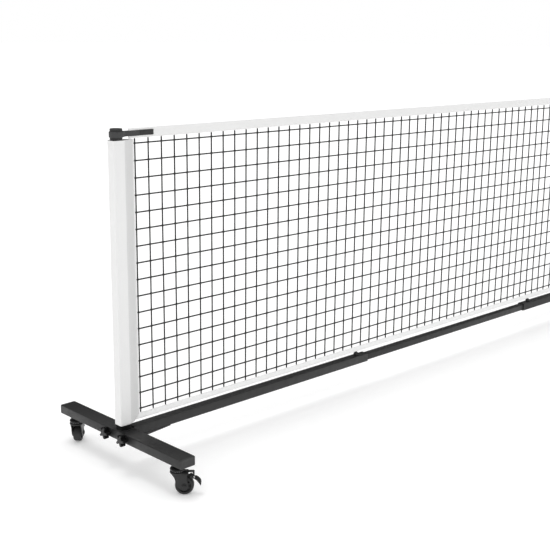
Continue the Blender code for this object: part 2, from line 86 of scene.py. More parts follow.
def mirror_y():
    m = np.eye(4)
    m[1, 1] = -1
    return m


def mid(node):
    lo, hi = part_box(node)
    return [(a + b) / 2 / MM for a, b in zip(lo, hi)]


def edge(node, k, high):
    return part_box(node)[1 if high else 0][k] / MM


POST_X = mid("post_r")[0]
ENDS = {"l": shift(x=-POST_X), "r": shift(x=POST_X) @ turn(180)}

BEAM_Z0, BEAM_Z1 = edge("beam_lf", 2, 0), edge("beam_lf", 2, 1)
BEAM_ZC = (BEAM_Z0 + BEAM_Z1) / 2
BEAM_W = edge("beam_lf", 0, 1) - edge("beam_lf", 0, 0)
BEAM_H = BEAM_Z1 - BEAM_Z0
BEAM_END = edge("beam_lb", 1, 1)
BEAM_IN = edge("beam_lb", 1, 0)
CAP_END = edge("beam_cap_lb", 1, 1)
POST_R = (edge("post_l", 0, 1) - edge("post_l", 0, 0)) / 2
POST_Z0, POST_Z1 = edge("post_l", 2, 0), edge("post_l", 2, 1)
CAP_TOP = edge("post_cap_l", 2, 1)
RAIL_OUT = edge("rail_a_l", 1, 1) - edge("rail_a_l", 1, 0)
RAIL_IN = edge("rail_b_l", 1, 1) - edge("rail_b_l", 1, 0)
RAIL_Z = edge("rail_a_l", 2, 0) + RAIL_OUT / 2
RAIL_TOP = RAIL_Z + RAIL_OUT / 2
SLV_Z0, SLV_Z1 = edge("net_sleeve_l", 2, 0), edge("net_sleeve_l", 2, 1)
BAND_X1 = edge("net_sleeve_l", 0, 1) + POST_X
TOP_Z0, TOP_Z1 = edge("net_tape_top", 2, 0), edge("net_tape_top", 2, 1)
TOP_X = edge("net_tape_top", 0, 1)
BOT_Z0, BOT_Z1 = edge("net_tape_bottom", 2, 0), edge("net_tape_bottom", 2, 1)
BOT_X = edge("net_tape_bottom", 0, 1)
STRAP_Z0, STRAP_Z1 = edge("tension_strap_l", 2, 0), edge("tension_strap_l", 2, 1)
STRAP_X1 = edge("tension_strap_l", 0, 1) + POST_X
WHEEL_R = mid("caster_wheel_lf")[2]
TRAIL = 18.0


# ------------------------------------------------------------ outlines

def rrect(w, h, r, seg=5, cx=0.0, cy=0.0, radii=None):
    """Counter-clockwise rounded rectangle; radii run ++, -+, --, +-."""
    radii = radii or (r, r, r, r)
    pts = []
    for k, (sx, sy) in enumerate(((1, 1), (-1, 1), (-1, -1), (1, -1))):
        rr = radii[k]
        ox, oy = cx + sx * (w / 2 - rr), cy + sy * (h / 2 - rr)
        for i in range(seg + 1):
            a = math.pi / 2 * (k + i / seg)
            pts.append((ox + rr * math.cos(a), oy + rr * math.sin(a)))
    return np.array(pts)


def circ(r, n, cx=0.0, cy=0.0, phase=0.0):
    a = 2 * np.pi * (np.arange(n) + phase) / n
    return np.stack([cx + r * np.cos(a), cy + r * np.sin(a)], 1)


def fillet(pts, r, seg=3, closed=True):
    """Rounds the corners of an outline or of a turned profile."""
    pts = [np.array(p, float) for p in pts]
    n = len(pts)
    rs = r if hasattr(r, "__len__") else [r] * n
    out = []
    for i, p in enumerate(pts):
        if rs[i] <= 0 or (not closed and i in (0, n - 1)):
            out.append(p)
            continue
        a, b = pts[i - 1] - p, pts[(i + 1) % n] - p
        la, lb = np.linalg.norm(a), np.linalg.norm(b)
        a, b = a / la, b / lb
        cosang = float(np.clip(a @ b, -1, 1))
        half = math.acos(cosang) / 2
        if half > math.pi / 2 - 0.02:
            out.append(p)
            continue
        d = min(rs[i] / math.tan(half), 0.48 * la, 0.48 * lb)
        rr = d * math.tan(half)
        c = p + (a + b) / np.linalg.norm(a + b) * (rr / math.sin(half))
        p0, p1 = p + a * d, p + b * d
        a0 = math.atan2(*(p0 - c)[::-1])
        a1 = math.atan2(*(p1 - c)[::-1])
        da = (a1 - a0 + math.pi) % (2 * math.pi) - math.pi
        for k in range(seg + 1):
            t = a0 + da * k / seg
            out.append(c + rr * np.array([math.cos(t), math.sin(t)]))
    return np.array(out)


def area2(pts):
    x, y = pts[:, 0], pts[:, 1]
    return float(np.sum(x * np.roll(y, -1) - np.roll(x, -1) * y))


def inset(pts, d):
    """The outline moved inwards by d."""
    if d == 0:
        return pts
    s = 1.0 if area2(pts) > 0 else -1.0
    e = np.roll(pts, -1, 0) - pts
    ln = np.linalg.norm(e, axis=1, keepdims=True)
    ln[ln < 1e-9] = 1e-9
    e = e / ln
    nrm = np.stack([-e[:, 1], e[:, 0]], 1) * s
    prev = np.roll(nrm, 1, 0)
    b = nrm + prev
    k = 1 + np.sum(nrm * prev, 1, keepdims=True)
    k[k < 0.2] = 0.2
    return pts + b / k * d


def lift(pts, axis, a):
    """An outline placed at a along an axis; outlines are (y, z), (x, z), (x, y)."""
    p = np.asarray(pts, float)
    c = np.full(len(p), float(a))
    if axis == "x":
        return np.stack([c, p[:, 0], p[:, 1]], 1)
    if axis == "y":
        return np.stack([p[:, 0], c, p[:, 1]], 1)
    return np.stack([p[:, 0], p[:, 1], c], 1)


# ------------------------------------------------------------ mesh collector

class Shell:
    """Vertices in millimetres, faces, UVs in millimetres and material slots."""

    def __init__(self):
        self.v, self.f, self.uv, self.m = [], [], [], []
        self.n = 0

    def push(self, pts, faces, uvs, mat=0, at=None, closed=True):
        pts = np.asarray(pts, float).reshape(-1, 3)
        if closed:
            vol = 0.0
            for f in faces:
                p0 = pts[f[0]]
                for i in range(1, len(f) - 1):
                    vol += float(np.dot(p0, np.cross(pts[f[i]], pts[f[i + 1]])))
            flip = vol < 0
        else:
            flip = False
        if at is not None:
            pts = pts @ at[:3, :3].T + at[:3, 3]
            if np.linalg.det(at[:3, :3]) < 0:
                flip = not flip
        if flip:
            faces = [f[::-1] for f in faces]
            uvs = [u[::-1] for u in uvs]
        self.v.append(pts)
        k = self.n
        self.f.extend([[i + k for i in f] for f in faces])
        self.uv.extend(uvs)
        self.m.extend([mat] * len(faces))
        self.n += len(pts)
        return self

    def rings(self, rings, wrap=False, caps=(True, True), mat=0, at=None,
              closed=True):
        """Skins a stack of equal rings; wrap joins the last to the first."""
        R = np.asarray(rings, float)
        m, n = R.shape[:2]
        per = np.zeros((m, n + 1))
        per[:, 1:] = np.cumsum(np.linalg.norm(np.roll(R, -1, 1) - R, axis=2), 1)
        along = np.concatenate([[0.0], np.cumsum(
            np.linalg.norm(R[1:] - R[:-1], axis=2).mean(1))])
        faces, uvs = [], []
        for a in range(m if wrap else m - 1):
            b = (a + 1) % m
            va = along[a]
            vb = along[b] if b else va + float(
                np.linalg.norm(R[b] - R[a], axis=1).mean())
            for i in range(n):
                j = (i + 1) % n
                faces.append([a * n + i, a * n + j, b * n + j, b * n + i])
                uvs.append([(per[a, i], va), (per[a, i + 1], va),
                            (per[b, i + 1], vb), (per[b, i], vb)])
        if not wrap:
            c = R.mean(1)
            if caps[0]:
                faces.append(list(range(n))[::-1])
                uvs.append([self._flat(R[0][i] - c[0]) for i in range(n)][::-1])
            if caps[1]:
                faces.append([(m - 1) * n + i for i in range(n)])
                uvs.append([self._flat(R[-1][i] - c[-1]) for i in range(n)])
        return self.push(R.reshape(-1, 3), faces, uvs, mat, at, closed)

    @staticmethod
    def _flat(d):
        return (float(d[0] + d[1]), float(d[2] + 0.5 * d[0]))

    # -------- shapes
    def prism(self, pts, axis, a0, a1, bev=0.5, seg=2, mat=0, at=None):
        pts = np.asarray(pts, float)
        r = []
        steps = [k / seg * math.pi / 2 for k in range(seg + 1)] if bev > 0 else []
        for t in steps:
            r.append(lift(inset(pts, bev * (1 - math.sin(t))), axis,
                          a0 + bev * (1 - math.cos(t))))
        if not steps:
            r = [lift(pts, axis, a0), lift(pts, axis, a1)]
        else:
            for t in steps[::-1]:
                r.append(lift(inset(pts, bev * (1 - math.sin(t))), axis,
                              a1 - bev * (1 - math.cos(t))))
        return self.rings(r, mat=mat, at=at)

    def tube(self, outer, inner, axis, a0, a1, rim=0.35, mat=0, at=None):
        """Hollow section with softened rims."""
        outer, inner = np.asarray(outer, float), np.asarray(inner, float)
        o = lambda d, a: lift(inset(outer, d), axis, a)
        i = lambda d, a: lift(inset(inner, -d), axis, a)
        r = [o(rim, a0), o(rim * .3, a0 + rim * .3), o(0, a0 + rim), o(0, a1 - rim),
             o(rim * .3, a1 - rim * .3), o(rim, a1), i(rim, a1),
             i(rim * .3, a1 - rim * .3), i(0, a1 - rim), i(0, a0 + rim),
             i(rim * .3, a0 + rim * .3), i(rim, a0)]
        return self.rings(r, wrap=True, mat=mat, at=at)

    def turned(self, profile, n=48, axis="z", wrap=False, mat=0, at=None,
               wobble=None):
        """A turned body; profile is (radius, height) pairs, capped at both ends
        unless wrap.  wobble(angle, k) scales the radius of ring k."""
        a = 2 * np.pi * np.arange(n) / n
        r = []
        for k, (rad, h) in enumerate(profile):
            rr = np.full(n, max(rad, 1e-3))
            if wobble is not None:
                rr = rr * wobble(a, k)
            c, s = rr * np.cos(a), rr * np.sin(a)
            r.append(lift(np.stack([c, s], 1), axis, h))
        return self.rings(r, wrap=wrap, mat=mat, at=at)

    def sweep(self, path, section, side, closed=False, mat=0, at=None, scale=None,
              bev_ends=False):
        """A section carried along a flat path; side is the path plane's normal.
        The section's (u, v) run along the in-plane normal and along side."""
        P = np.asarray(path, float)
        side = np.asarray(side, float)
        m = len(P)
        if closed:
            T = np.roll(P, -1, 0) - np.roll(P, 1, 0)
        else:
            T = np.empty_like(P)
            T[1:-1] = P[2:] - P[:-2]
            T[0], T[-1] = P[1] - P[0], P[-1] - P[-2]
        T /= np.linalg.norm(T, axis=1, keepdims=True)
        N = np.cross(side, T)
        N /= np.linalg.norm(N, axis=1, keepdims=True)
        r = []
        for k in range(m):
            sec = np.asarray(section(k) if callable(section) else section, float)
            sc = 1.0 if scale is None else scale[k]
            r.append(P[k] + sec[:, :1] * sc * N[k] + sec[:, 1:] * sc * side)
        return self.rings(r, wrap=closed, mat=mat, at=at)

    def copies(self, verts, faces, places, mat=0, at=None):
        """One small closed shape set down at many places (offset, 3x3)."""
        verts = np.asarray(verts, float)
        for off, rot in places:
            p = verts @ np.asarray(rot, float).T + off
            self.push(p, faces, [[(0.0, 0.0)] * len(f) for f in faces], mat, at,
                      closed=False)
        return self


def build(shell, name, mats, body, nodes=(), world=None, smooth=35.0):
    pts = np.concatenate(shell.v)
    flip = False
    if world is not None:
        pts = pts @ world[:3, :3].T + world[:3, 3]
        flip = np.linalg.det(world[:3, :3]) < 0
    faces = [f[::-1] for f in shell.f] if flip else shell.f
    uvs = [u[::-1] for u in shell.uv] if flip else shell.uv
    me = bpy.data.meshes.new(name)
    me.from_pydata((pts * MM).tolist(), [], faces)
    layer = me.uv_layers.new(name="mm")
    flat = np.array([c for u in uvs for c in u], np.float32) * 0.01
    layer.data.foreach_set("uv", flat.ravel())
    for m in (mats if isinstance(mats, (list, tuple)) else [mats]):
        me.materials.append(m)
    me.polygons.foreach_set("material_index", np.array(shell.m, np.int32))
    me.update()
    me.shade_smooth()
    me.set_sharp_from_angle(angle=math.radians(smooth))
    ob = bpy.data.objects.new(name, me)
    bpy.context.scene.collection.objects.link(ob)
    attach(ob, body)
    if nodes:
        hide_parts(*([nodes] if isinstance(nodes, str) else nodes))
    return ob


# ------------------------------------------------------------ materials

class Nodes:
    """Small helper round one material's node tree."""

    def __init__(self, name):
        self.mat = bpy.data.materials.new(name)
        self.mat.use_nodes = True
        self.t = self.mat.node_tree
        self.bsdf = self.t.nodes["Principled BSDF"]
        self.tc = self.t.nodes.new("ShaderNodeTexCoord")

    def new(self, kind, **props):
        n = self.t.nodes.new(kind)
        for k, v in props.items():
            setattr(n, k, v)
        return n

    def link(self, a, b):
        self.t.links.new(a, b)

    def noise(self, scale, detail=2.0, rough=0.5, coord=None, stretch=None):
        n = self.new("ShaderNodeTexNoise")
        n.inputs["Scale"].default_value = scale
        n.inputs["Detail"].default_value = detail
        n.inputs["Roughness"].default_value = rough
        src = coord or self.tc.outputs["Object"]
        if stretch:
            mp = self.new("ShaderNodeMapping")
            mp.inputs["Scale"].default_value = stretch
            self.link(src, mp.inputs["Vector"])
            src = mp.outputs["Vector"]
        self.link(src, n.inputs["Vector"])
        return n.outputs["Fac"]

    def ramp(self, fac, stops):
        n = self.new("ShaderNodeValToRGB")
        els = n.color_ramp.elements
        while len(els) < len(stops):
            els.new(0.5)
        for e, (p, c) in zip(els, stops):
            e.position = p
            e.color = (*c, 1.0) if hasattr(c, "__len__") else (c, c, c, 1.0)
        self.link(fac, n.inputs["Fac"])
        return n.outputs["Color"]

    def span(self, fac, lo, hi, f0=0.3, f1=0.7):
        n = self.new("ShaderNodeMapRange")
        n.inputs["From Min"].default_value = f0
        n.inputs["From Max"].default_value = f1
        n.inputs["To Min"].default_value = lo
        n.inputs["To Max"].default_value = hi
        self.link(fac, n.inputs["Value"])
        return n.outputs["Result"]

    def math(self, op, a, b=None, c=None):
        n = self.new("ShaderNodeMath", operation=op)
        for k, v in enumerate((a, b, c)):
            if v is None:
                continue
            if hasattr(v, "is_linked") or hasattr(v, "links"):
                self.link(v, n.inputs[k])
            else:
                n.inputs[k].default_value = v
        return n.outputs[0]

    def bump(self, height, distance, strength=1.0, under=None):
        n = self.new("ShaderNodeBump")
        n.inputs["Distance"].default_value = distance
        n.inputs["Strength"].default_value = strength
        self.link(height, n.inputs["Height"])
        if under is not None:
            self.link(under, n.inputs["Normal"])
        return n.outputs["Normal"]

    def done(self, color=None, rough=None, normal=None, metallic=0.0, spec=0.5,
             sheen=0.0, sheen_rough=0.5, coat=0.0, coat_rough=0.2):
        b = self.bsdf
        if color is not None:
            if hasattr(color, "links"):
                self.link(color, b.inputs["Base Color"])
            else:
                b.inputs["Base Color"].default_value = (*color, 1.0)
        if rough is not None:
            if hasattr(rough, "links"):
                self.link(rough, b.inputs["Roughness"])
            else:
                b.inputs["Roughness"].default_value = rough
        if normal is not None:
            self.link(normal, b.inputs["Normal"])
        b.inputs["Metallic"].default_value = metallic
        b.inputs["Specular IOR Level"].default_value = spec
        b.inputs["Sheen Weight"].default_value = sheen
        b.inputs["Sheen Roughness"].default_value = sheen_rough
        b.inputs["Coat Weight"].default_value = coat
        b.inputs["Coat Roughness"].default_value = coat_rough
        return self.mat


def tone(base, k):
    return tuple(c * k for c in base)


def powder_coat(name, base):
    """Fine-textured satin powder coat: orange peel, slight cloudiness."""
    s = Nodes(name)
    cloud = s.noise(9.0, 3.0, 0.55)
    col = s.ramp(cloud, [(0.30, tone(base, 0.92)), (0.72, tone(base, 1.08))])
    rough = s.span(s.noise(60.0, 2.0), 0.44, 0.54)
    peel = s.noise(1500.0, 1.5, 0.5)
    wide = s.noise(260.0, 2.0, 0.5)
    h = s.math("MULTIPLY_ADD", wide, 0.7, peel)
    return s.done(col, rough, s.bump(h, 0.00010, 0.35), spec=0.5)


def moulded(name, base, r0=0.36, r1=0.46, spec=0.5):
    """Moulded black plastic with a fine spark-eroded grain."""
    s = Nodes(name)
    col = s.ramp(s.noise(40.0, 2.0), [(0.3, tone(base, 0.9)), (0.7, tone(base, 1.1))])
    rough = s.span(s.noise(150.0, 2.0), r0, r1)
    grain = s.noise(3200.0, 2.0, 0.6)
    return s.done(col, rough, s.bump(grain, 0.00006, 0.3), spec=spec)


def coated_steel(name, base):
    """Black e-coated pressed steel, with thinner coat on worn high spots."""
    s = Nodes(name)
    wear = s.noise(70.0, 4.0, 0.6)
    col = s.ramp(wear, [(0.30, tone(base, 0.85)), (0.62, base), (0.80, tone(base, 1.5))])
    rough = s.span(wear, 0.30, 0.44)
    return s.done(col, rough, s.bump(s.noise(900.0, 2.0), 0.00008, 0.3),
                  metallic=0.25, spec=0.5)


def bare_steel(name, base):
    s = Nodes(name)
    brushed = s.noise(500.0, 2.0, 0.5, stretch=(1.0, 1.0, 6.0))
    col = s.ramp(brushed, [(0.3, tone(base, 0.8)), (0.7, tone(base, 1.1))])
    return s.done(col, s.span(brushed, 0.24, 0.40), metallic=1.0)


def tyre(name, base):
    s = Nodes(name)
    dust = s.noise(45.0, 4.0, 0.6)
    col = s.ramp(dust, [(0.35, base), (0.75, tone(base, 1.35))])
    rough = s.span(dust, 0.48, 0.66)
    return s.done(col, rough, s.bump(s.noise(1400.0, 3.0, 0.6), 0.00012, 0.35),
                  spec=0.45)


def vinyl(name, base, weave=0.85, pitch=0.0011):
    """White coated cloth: the woven scrim shows through the coat."""
    s = Nodes(name)
    sep = s.new("ShaderNodeSeparateXYZ")
    s.link(s.tc.outputs["Object"], sep.inputs[0])
    k = 2 * math.pi / pitch
    across = s.math("SINE", s.math("MULTIPLY", s.math(
        "ADD", sep.outputs["X"], sep.outputs["Y"]), k))
    up = s.math("SINE", s.math("MULTIPLY", sep.outputs["Z"], k))
    cloth = s.math("MULTIPLY", across, up)
    soil = s.noise(7.0, 4.0, 0.6)
    fine = s.noise(160.0, 3.0, 0.6)
    col = s.ramp(soil, [(0.30, tone(base, 0.975)), (0.68, base)])
    rough = s.span(fine, 0.50, 0.62)
    n = s.bump(cloth, 0.00007, weave)
    n = s.bump(s.noise(55.0, 3.0, 0.5), 0.0007, 0.30, n)
    return s.done(col, rough, n, spec=0.35, sheen=0.10, sheen_rough=0.5)


def webbing(name, base, rib=0.0016):
    """Woven strap: warp ribs along its length, weft ticks across (UV in cm/10)."""
    s = Nodes(name)
    uv = s.tc.outputs["UV"]
    sep = s.new("ShaderNodeSeparateXYZ")
    s.link(uv, sep.inputs[0])
    # UV is millimetres / 100
    ku = 2 * math.pi / (rib / MM / 100.0)
    kv = 2 * math.pi / (1.3 / 100.0)
    warp = s.math("SINE", s.math("MULTIPLY", sep.outputs["X"], ku))
    weft = s.math("SINE", s.math("MULTIPLY_ADD", sep.outputs["Y"], kv,
                                 s.math("MULTIPLY", warp, 1.4)))
    h = s.math("MULTIPLY_ADD", weft, 0.6, warp)
    fuzz = s.noise(1800.0, 3.0, 0.7)
    # the colour follows the weave relief a little: the valleys of the weave are painted
    # darker, painted shade; fuzz is random fibre tone
    col = s.ramp(s.math("MULTIPLY_ADD", h, 0.12, fuzz),
                 [(0.25, tone(base, 0.75)), (0.75, tone(base, 1.2))])
    return s.done(col, 0.80, s.bump(h, 0.00022, 0.8), spec=0.25, sheen=0.05,
                  sheen_rough=0.6)


def twisted(name, base):
    """Laid cord: strands wind round it once every few millimetres."""
    s = Nodes(name)
    sep = s.new("ShaderNodeSeparateXYZ")
    s.link(s.tc.outputs["UV"], sep.inputs[0])
    # U is once round the cord, V is millimetres / 100 along it
    turnw = s.math("MULTIPLY", sep.outputs["X"], 2 * math.pi * 3)
    lay = s.math("MULTIPLY_ADD", sep.outputs["Y"], 2 * math.pi * 100.0 / 5.5, turnw)
    strand = s.math("ABSOLUTE", s.math("SINE", lay))
    # the colour follows the strand relief: the grooves between strands are painted darker,
    # painted shade
    col = s.ramp(strand, [(0.0, tone(base, 0.55)), (0.55, tone(base, 1.1))])
    return s.done(col, 0.55, s.bump(strand, 0.0004, 0.7), spec=0.4, sheen=0.10)


def rubber(name, base):
    s = Nodes(name)
    n = s.noise(120.0, 4.0, 0.6)
    col = s.ramp(n, [(0.3, base), (0.8, tone(base, 1.5))])
    return s.done(col, s.span(n, 0.6, 0.8), s.bump(s.noise(1100.0, 3.0), 0.0001, 0.4),
                  spec=0.35)


M_STEEL = powder_coat("frame_powder_coat", (0.0172, 0.0172, 0.0174))
# near-black, matt and dull: painted shade, for the post socket under the pocket and for the
# knob flanks
M_SHADE_BLACK = moulded("painted_shade_black", (0.004, 0.004, 0.0042), 0.6, 0.7, 0.15)
M_CAP = moulded("cap_plastic", (0.033, 0.033, 0.0333), 0.42, 0.54, 0.4)
M_KNOB = moulded("knob_plastic", (0.016, 0.016, 0.0163))
M_FORK = coated_steel("caster_steel", (0.021, 0.021, 0.0213))
M_BALL = bare_steel("ball_race_steel", (0.30, 0.30, 0.31))
M_TYRE = tyre("wheel_tread", (0.020, 0.020, 0.0203))
M_RIM = moulded("wheel_core", (0.010, 0.010, 0.0102))
M_VINYL = vinyl("white_binding", (0.826, 0.826, 0.822))
# the side band is a darker copy of the white vinyl: painted shade on its slanted faces
M_BAND_SHADED = vinyl("white_side_band_painted_shade", (0.697, 0.697, 0.695))
# the bottom tape is a brighter copy of the white vinyl: painted light for the light bounced
# up from the floor
M_BOTTOM_TAPE_LIT = vinyl("white_bottom_tape_painted_light", (0.93, 0.93, 0.928))
M_THREAD = vinyl("white_thread", (0.82, 0.82, 0.815), 0.2, 0.0006)
M_STRAP = webbing("black_strap", (0.067, 0.067, 0.0676))
M_HOOK = webbing("hook_tape", (0.046, 0.046, 0.0465), 0.0009)
M_BTHREAD = moulded("black_thread", (0.020, 0.020, 0.021), 0.6, 0.75)
M_CORD = twisted("net_cord", (0.016, 0.016, 0.0163))
M_RUBBER = rubber("boot_rubber", (0.026, 0.026, 0.026))


# ------------------------------------------------------------ small parts

def weld(shell, path, side, r=1.5, closed=False, at=None, mat=0):
    """A rippled weld bead along a path."""
    P = np.asarray(path, float)
    seg = np.linalg.norm(np.diff(np.vstack([P, P[:1]] if closed else [P]), axis=0), axis=1)
    s = np.concatenate([[0], np.cumsum(seg)])[:len(P)]
    sc = r * (1.0 + 0.10 * np.sin(2 * np.pi * s / 2.6) + 0.05 * np.sin(s * 0.37))
    shell.sweep(P, circ(1.0, 10), side, closed=closed, scale=sc, at=at, mat=mat)


def resample(pts, step, closed=False):
    P = np.asarray(pts, float)
    if closed:
        P = np.vstack([P, P[:1]])
    d = np.concatenate([[0], np.cumsum(np.linalg.norm(np.diff(P, axis=0), axis=1))])
    n = max(2, int(round(d[-1] / step)))
    t = np.linspace(0, d[-1], n + 1)
    if closed:
        t = t[:-1]
    return np.stack([np.interp(t, d, P[:, k]) for k in range(P.shape[1])], 1)


def hexagon(r, cx=0.0, cy=0.0, seg=2, soft=0.25):
    return fillet(circ(r, 6, cx, cy), soft, seg)


def hub_piece(end):
    s = Shell()
    core = rrect(BEAM_W, BEAM_H, 2.8, 6, 0, BEAM_ZC)
    s.prism(core, "y", -20.0, 20.0, 0.3, 2)
    # stubs inside the beam tubes
    s.prism(rrect(BEAM_W - 5.6, BEAM_H - 5.6, 1.5, 3, 0, BEAM_ZC), "y", -64, 64, 0.5)
    # post socket, with a chamfered mouth
    ro, ri = 19.6, 16.5
    prof = [(ri, 96.0), (ro, 96.0), (ro, 120.9), (ro - 0.6, 121.5), (ri + 0.7, 121.5),
            (ri, 120.8)]
    # the socket takes the near-black material: painted shade for the dark gap under the
    # pocket
    s.turned(fillet(prof, [0, 0, 0.5, 0.5, 0.4, 0.4], 3), 64, wrap=True, mat=1)
    a = 2 * np.pi * np.arange(150) / 150
    ring = np.stack([(ro + 0.2) * np.cos(a), (ro + 0.2) * np.sin(a),
                     np.full(150, BEAM_Z1 + 0.2)], 1)
    weld(s, ring, (0, 0, 1), 1.5, closed=True)
    # pressed web that carries the rail's end
    zl = RAIL_Z - RAIL_OUT / 2
    web = [(12.0, BEAM_Z0 + 2.0), (12.0, 77.0), (74.0, 77.0), (150.0, zl - 1.5),
           (150.0, zl - 0.12), (23.9, zl - 0.12), (23.9, BEAM_Z0 + 2.0)]
    web = fillet(web, [0.5, 4.0, 30.0, 0.4, 0.2, 0.1, 0.5], 6)
    s.prism(web, "y", -13.9, 13.9, 0.25, 2)
    # beads where web and rail stub meet the core
    for y in (-14.2, 14.2):
        weld(s, resample([(24.2, y, 78.5), (24.2, y, 110.0)], 0.9), (0, 1, 0), 1.2)
    s.prism(rrect(RAIL_IN, RAIL_IN, 1.6, 3, 0, RAIL_Z), "x", 20.0, 110.0, 0.5)
    return build(s, "hub_skin_" + end, [M_STEEL, M_SHADE_BLACK], "frame", "hub_" + end,
                 ENDS[end])


def beam_piece(end, sy, tag):
    s = Shell()
    at = None if sy > 0 else mirror_y()
    s.tube(rrect(BEAM_W, BEAM_H, 2.8, 6, 0, BEAM_ZC),
           rrect(BEAM_W - 3.6, BEAM_H - 3.6, 1.2, 6, 0, BEAM_ZC),
           "y", BEAM_IN, BEAM_END, 0.3, at=at)
    build(s, "beam_skin_" + tag, M_STEEL, "frame", "beam_" + tag,
          ENDS[end])
    c = Shell()
    y0 = BEAM_END + 0.3
    w, h = BEAM_W, BEAM_H
    rings = []
    for d, y in ((4.3, y0 - 12), (3.9, y0 - 11.5), (2.2, y0 - 1.0), (2.2, y0)):
        rings.append(lift(rrect(w - 2 * d, h - 2 * d, 1.5, 6, 0, BEAM_ZC), "y", y))
    for t in np.linspace(0, 1, 6):
        d = 0.9 * (1 - math.cos(t * math.pi / 2))
        rings.append(lift(rrect(w - 2 * d, h - 2 * d, 3.4 - 0.5 * d, 6, 0, BEAM_ZC),
                          "y", y0 + 0.25 + (CAP_END - y0 - 0.35) * math.sin(t * math.pi / 2)))
    rings.insert(4, lift(rrect(w, h, 3.4, 6, 0, BEAM_ZC), "y", y0))
    # a shallow dished face
    for d, y in ((5.0, CAP_END - 0.05), (6.0, CAP_END - 0.35), (9.0, CAP_END - 0.40)):
        rings.append(lift(rrect(w - 2 * d, h - 2 * d, 2.0, 6, 0, BEAM_ZC), "y", y))
    c.rings(rings, at=at)
    build(c, "beam_end_cap_" + tag, M_CAP, "frame", "beam_cap_" + tag,
          ENDS[end], 30)


def post_piece(end):
    s = Shell()
    s.turned([(POST_R, POST_Z0), (POST_R, POST_Z1), (POST_R - 1.5, POST_Z1),
              (POST_R - 1.5, POST_Z0)], 72, wrap=True)
    build(s, "post_skin_" + end, M_STEEL, "frame", "post_" + end,
          ENDS[end])
    c = Shell()
    z = POST_Z1 + 0.3
    ri = POST_R - 1.9
    prof = [(ri - 0.6, z - 12.0), (ri, z - 11.4), (ri, z), (POST_R - 0.2, z),
            (POST_R, z + 0.25), (POST_R, CAP_TOP - 1.2), (POST_R - 0.35, CAP_TOP - 0.5),
            (POST_R - 1.2, CAP_TOP - 0.05), (POST_R - 2.2, CAP_TOP),
            (5.0, CAP_TOP), (4.2, CAP_TOP - 0.15), (3.6, CAP_TOP - 0.5),
            (0.6, CAP_TOP - 0.5)]
    c.turned(prof, 72)
    build(c, "post_cap_skin_" + end, M_CAP, "frame", "post_cap_" + end,
          ENDS[end], 40)


def rail_piece(node, x0, x1, size, wall, world, bosses=(), lip=()):
    s = Shell()
    s.tube(rrect(size, size, 2.4, 6, 0, RAIL_Z),
           rrect(size - 2 * wall, size - 2 * wall, 1.0, 6, 0, RAIL_Z),
           "x", x0, x1, 0.6 if size > 25 else 0.3)
    top = RAIL_Z + size / 2
    for x in bosses:      # weld nut for the lock screw
        prof = [(3.4, top - 0.4), (7.0, top - 0.4), (7.0, top + 1.6), (6.5, top + 2.0),
                (3.9, top + 2.0), (3.4, top + 1.6)]
        s.turned(prof, 40, wrap=True, at=shift(x=x))
        a = 2 * np.pi * np.arange(60) / 60
        weld(s, np.stack([x + 7.3 * np.cos(a), 7.3 * np.sin(a),
                          np.full(60, top + 0.1)], 1), (0, 0, 1), 0.8, closed=True)
    return build(s, node + "_skin", M_STEEL, "frame", node, world)


def lock_screw_piece(end, k):
    """Conical thumb screw with a fluted grip."""
    node = "lock_screw_%s%d" % (end, k)
    x, y = mid(node)[:2]
    z = RAIL_TOP + 2.3
    s = Shell()
    s.turned([(2.2, z - 10.6), (2.9, z - 9.8), (2.9, z + 0.1)], 20)
    prof = fillet([(3.0, z), (8.3, z), (8.8, z + 0.8), (8.8, z + 3.2), (5.4, z + 7.4),
                   (3.4, z + 9.2), (0.4, z + 9.5)], [0, .4, .4, .7, 2.5, 1.2, 0], 4,
                  closed=False)

    def flutes(a, kk):
        r, h = prof[kk]
        deep = 0.045 if 0.5 < h - z < 6.5 else 0.0
        return 1.0 - deep * (0.5 + 0.5 * np.cos(18 * a)) ** 2
    s.turned(prof, 108, wobble=flutes)
    build(s, node + "_skin", M_KNOB, "screw_%s%d" % (end, k), node,
          shift(x=x, y=y), 40)


def lobe_outline(k, inner=1.0, n=120):
    """Five round-nosed lobes on a core, as a smooth closed outline."""
    core, reach, nose = 8.9 * inner, 13.4, 4.0
    pts = []
    for i in range(n):
        a = 2 * math.pi * i / n
        r = core
        for q in range(5):
            b = a - 2 * math.pi * q / 5
            disc = nose ** 2 - (reach * math.sin(b)) ** 2
            if disc > 0 and math.cos(b) > 0:
                r = max(r, reach * math.cos(b) + math.sqrt(disc))
        pts.append(r)
    r = np.array(pts)
    for _ in range(2):                       # fillets in the valleys
        r = 0.25 * np.roll(r, 1) + 0.5 * r + 0.25 * np.roll(r, -1)
    r = r * k
    a = 2 * np.pi * np.arange(n) / n
    return np.stack([r * np.cos(a), r * np.sin(a)], 1)


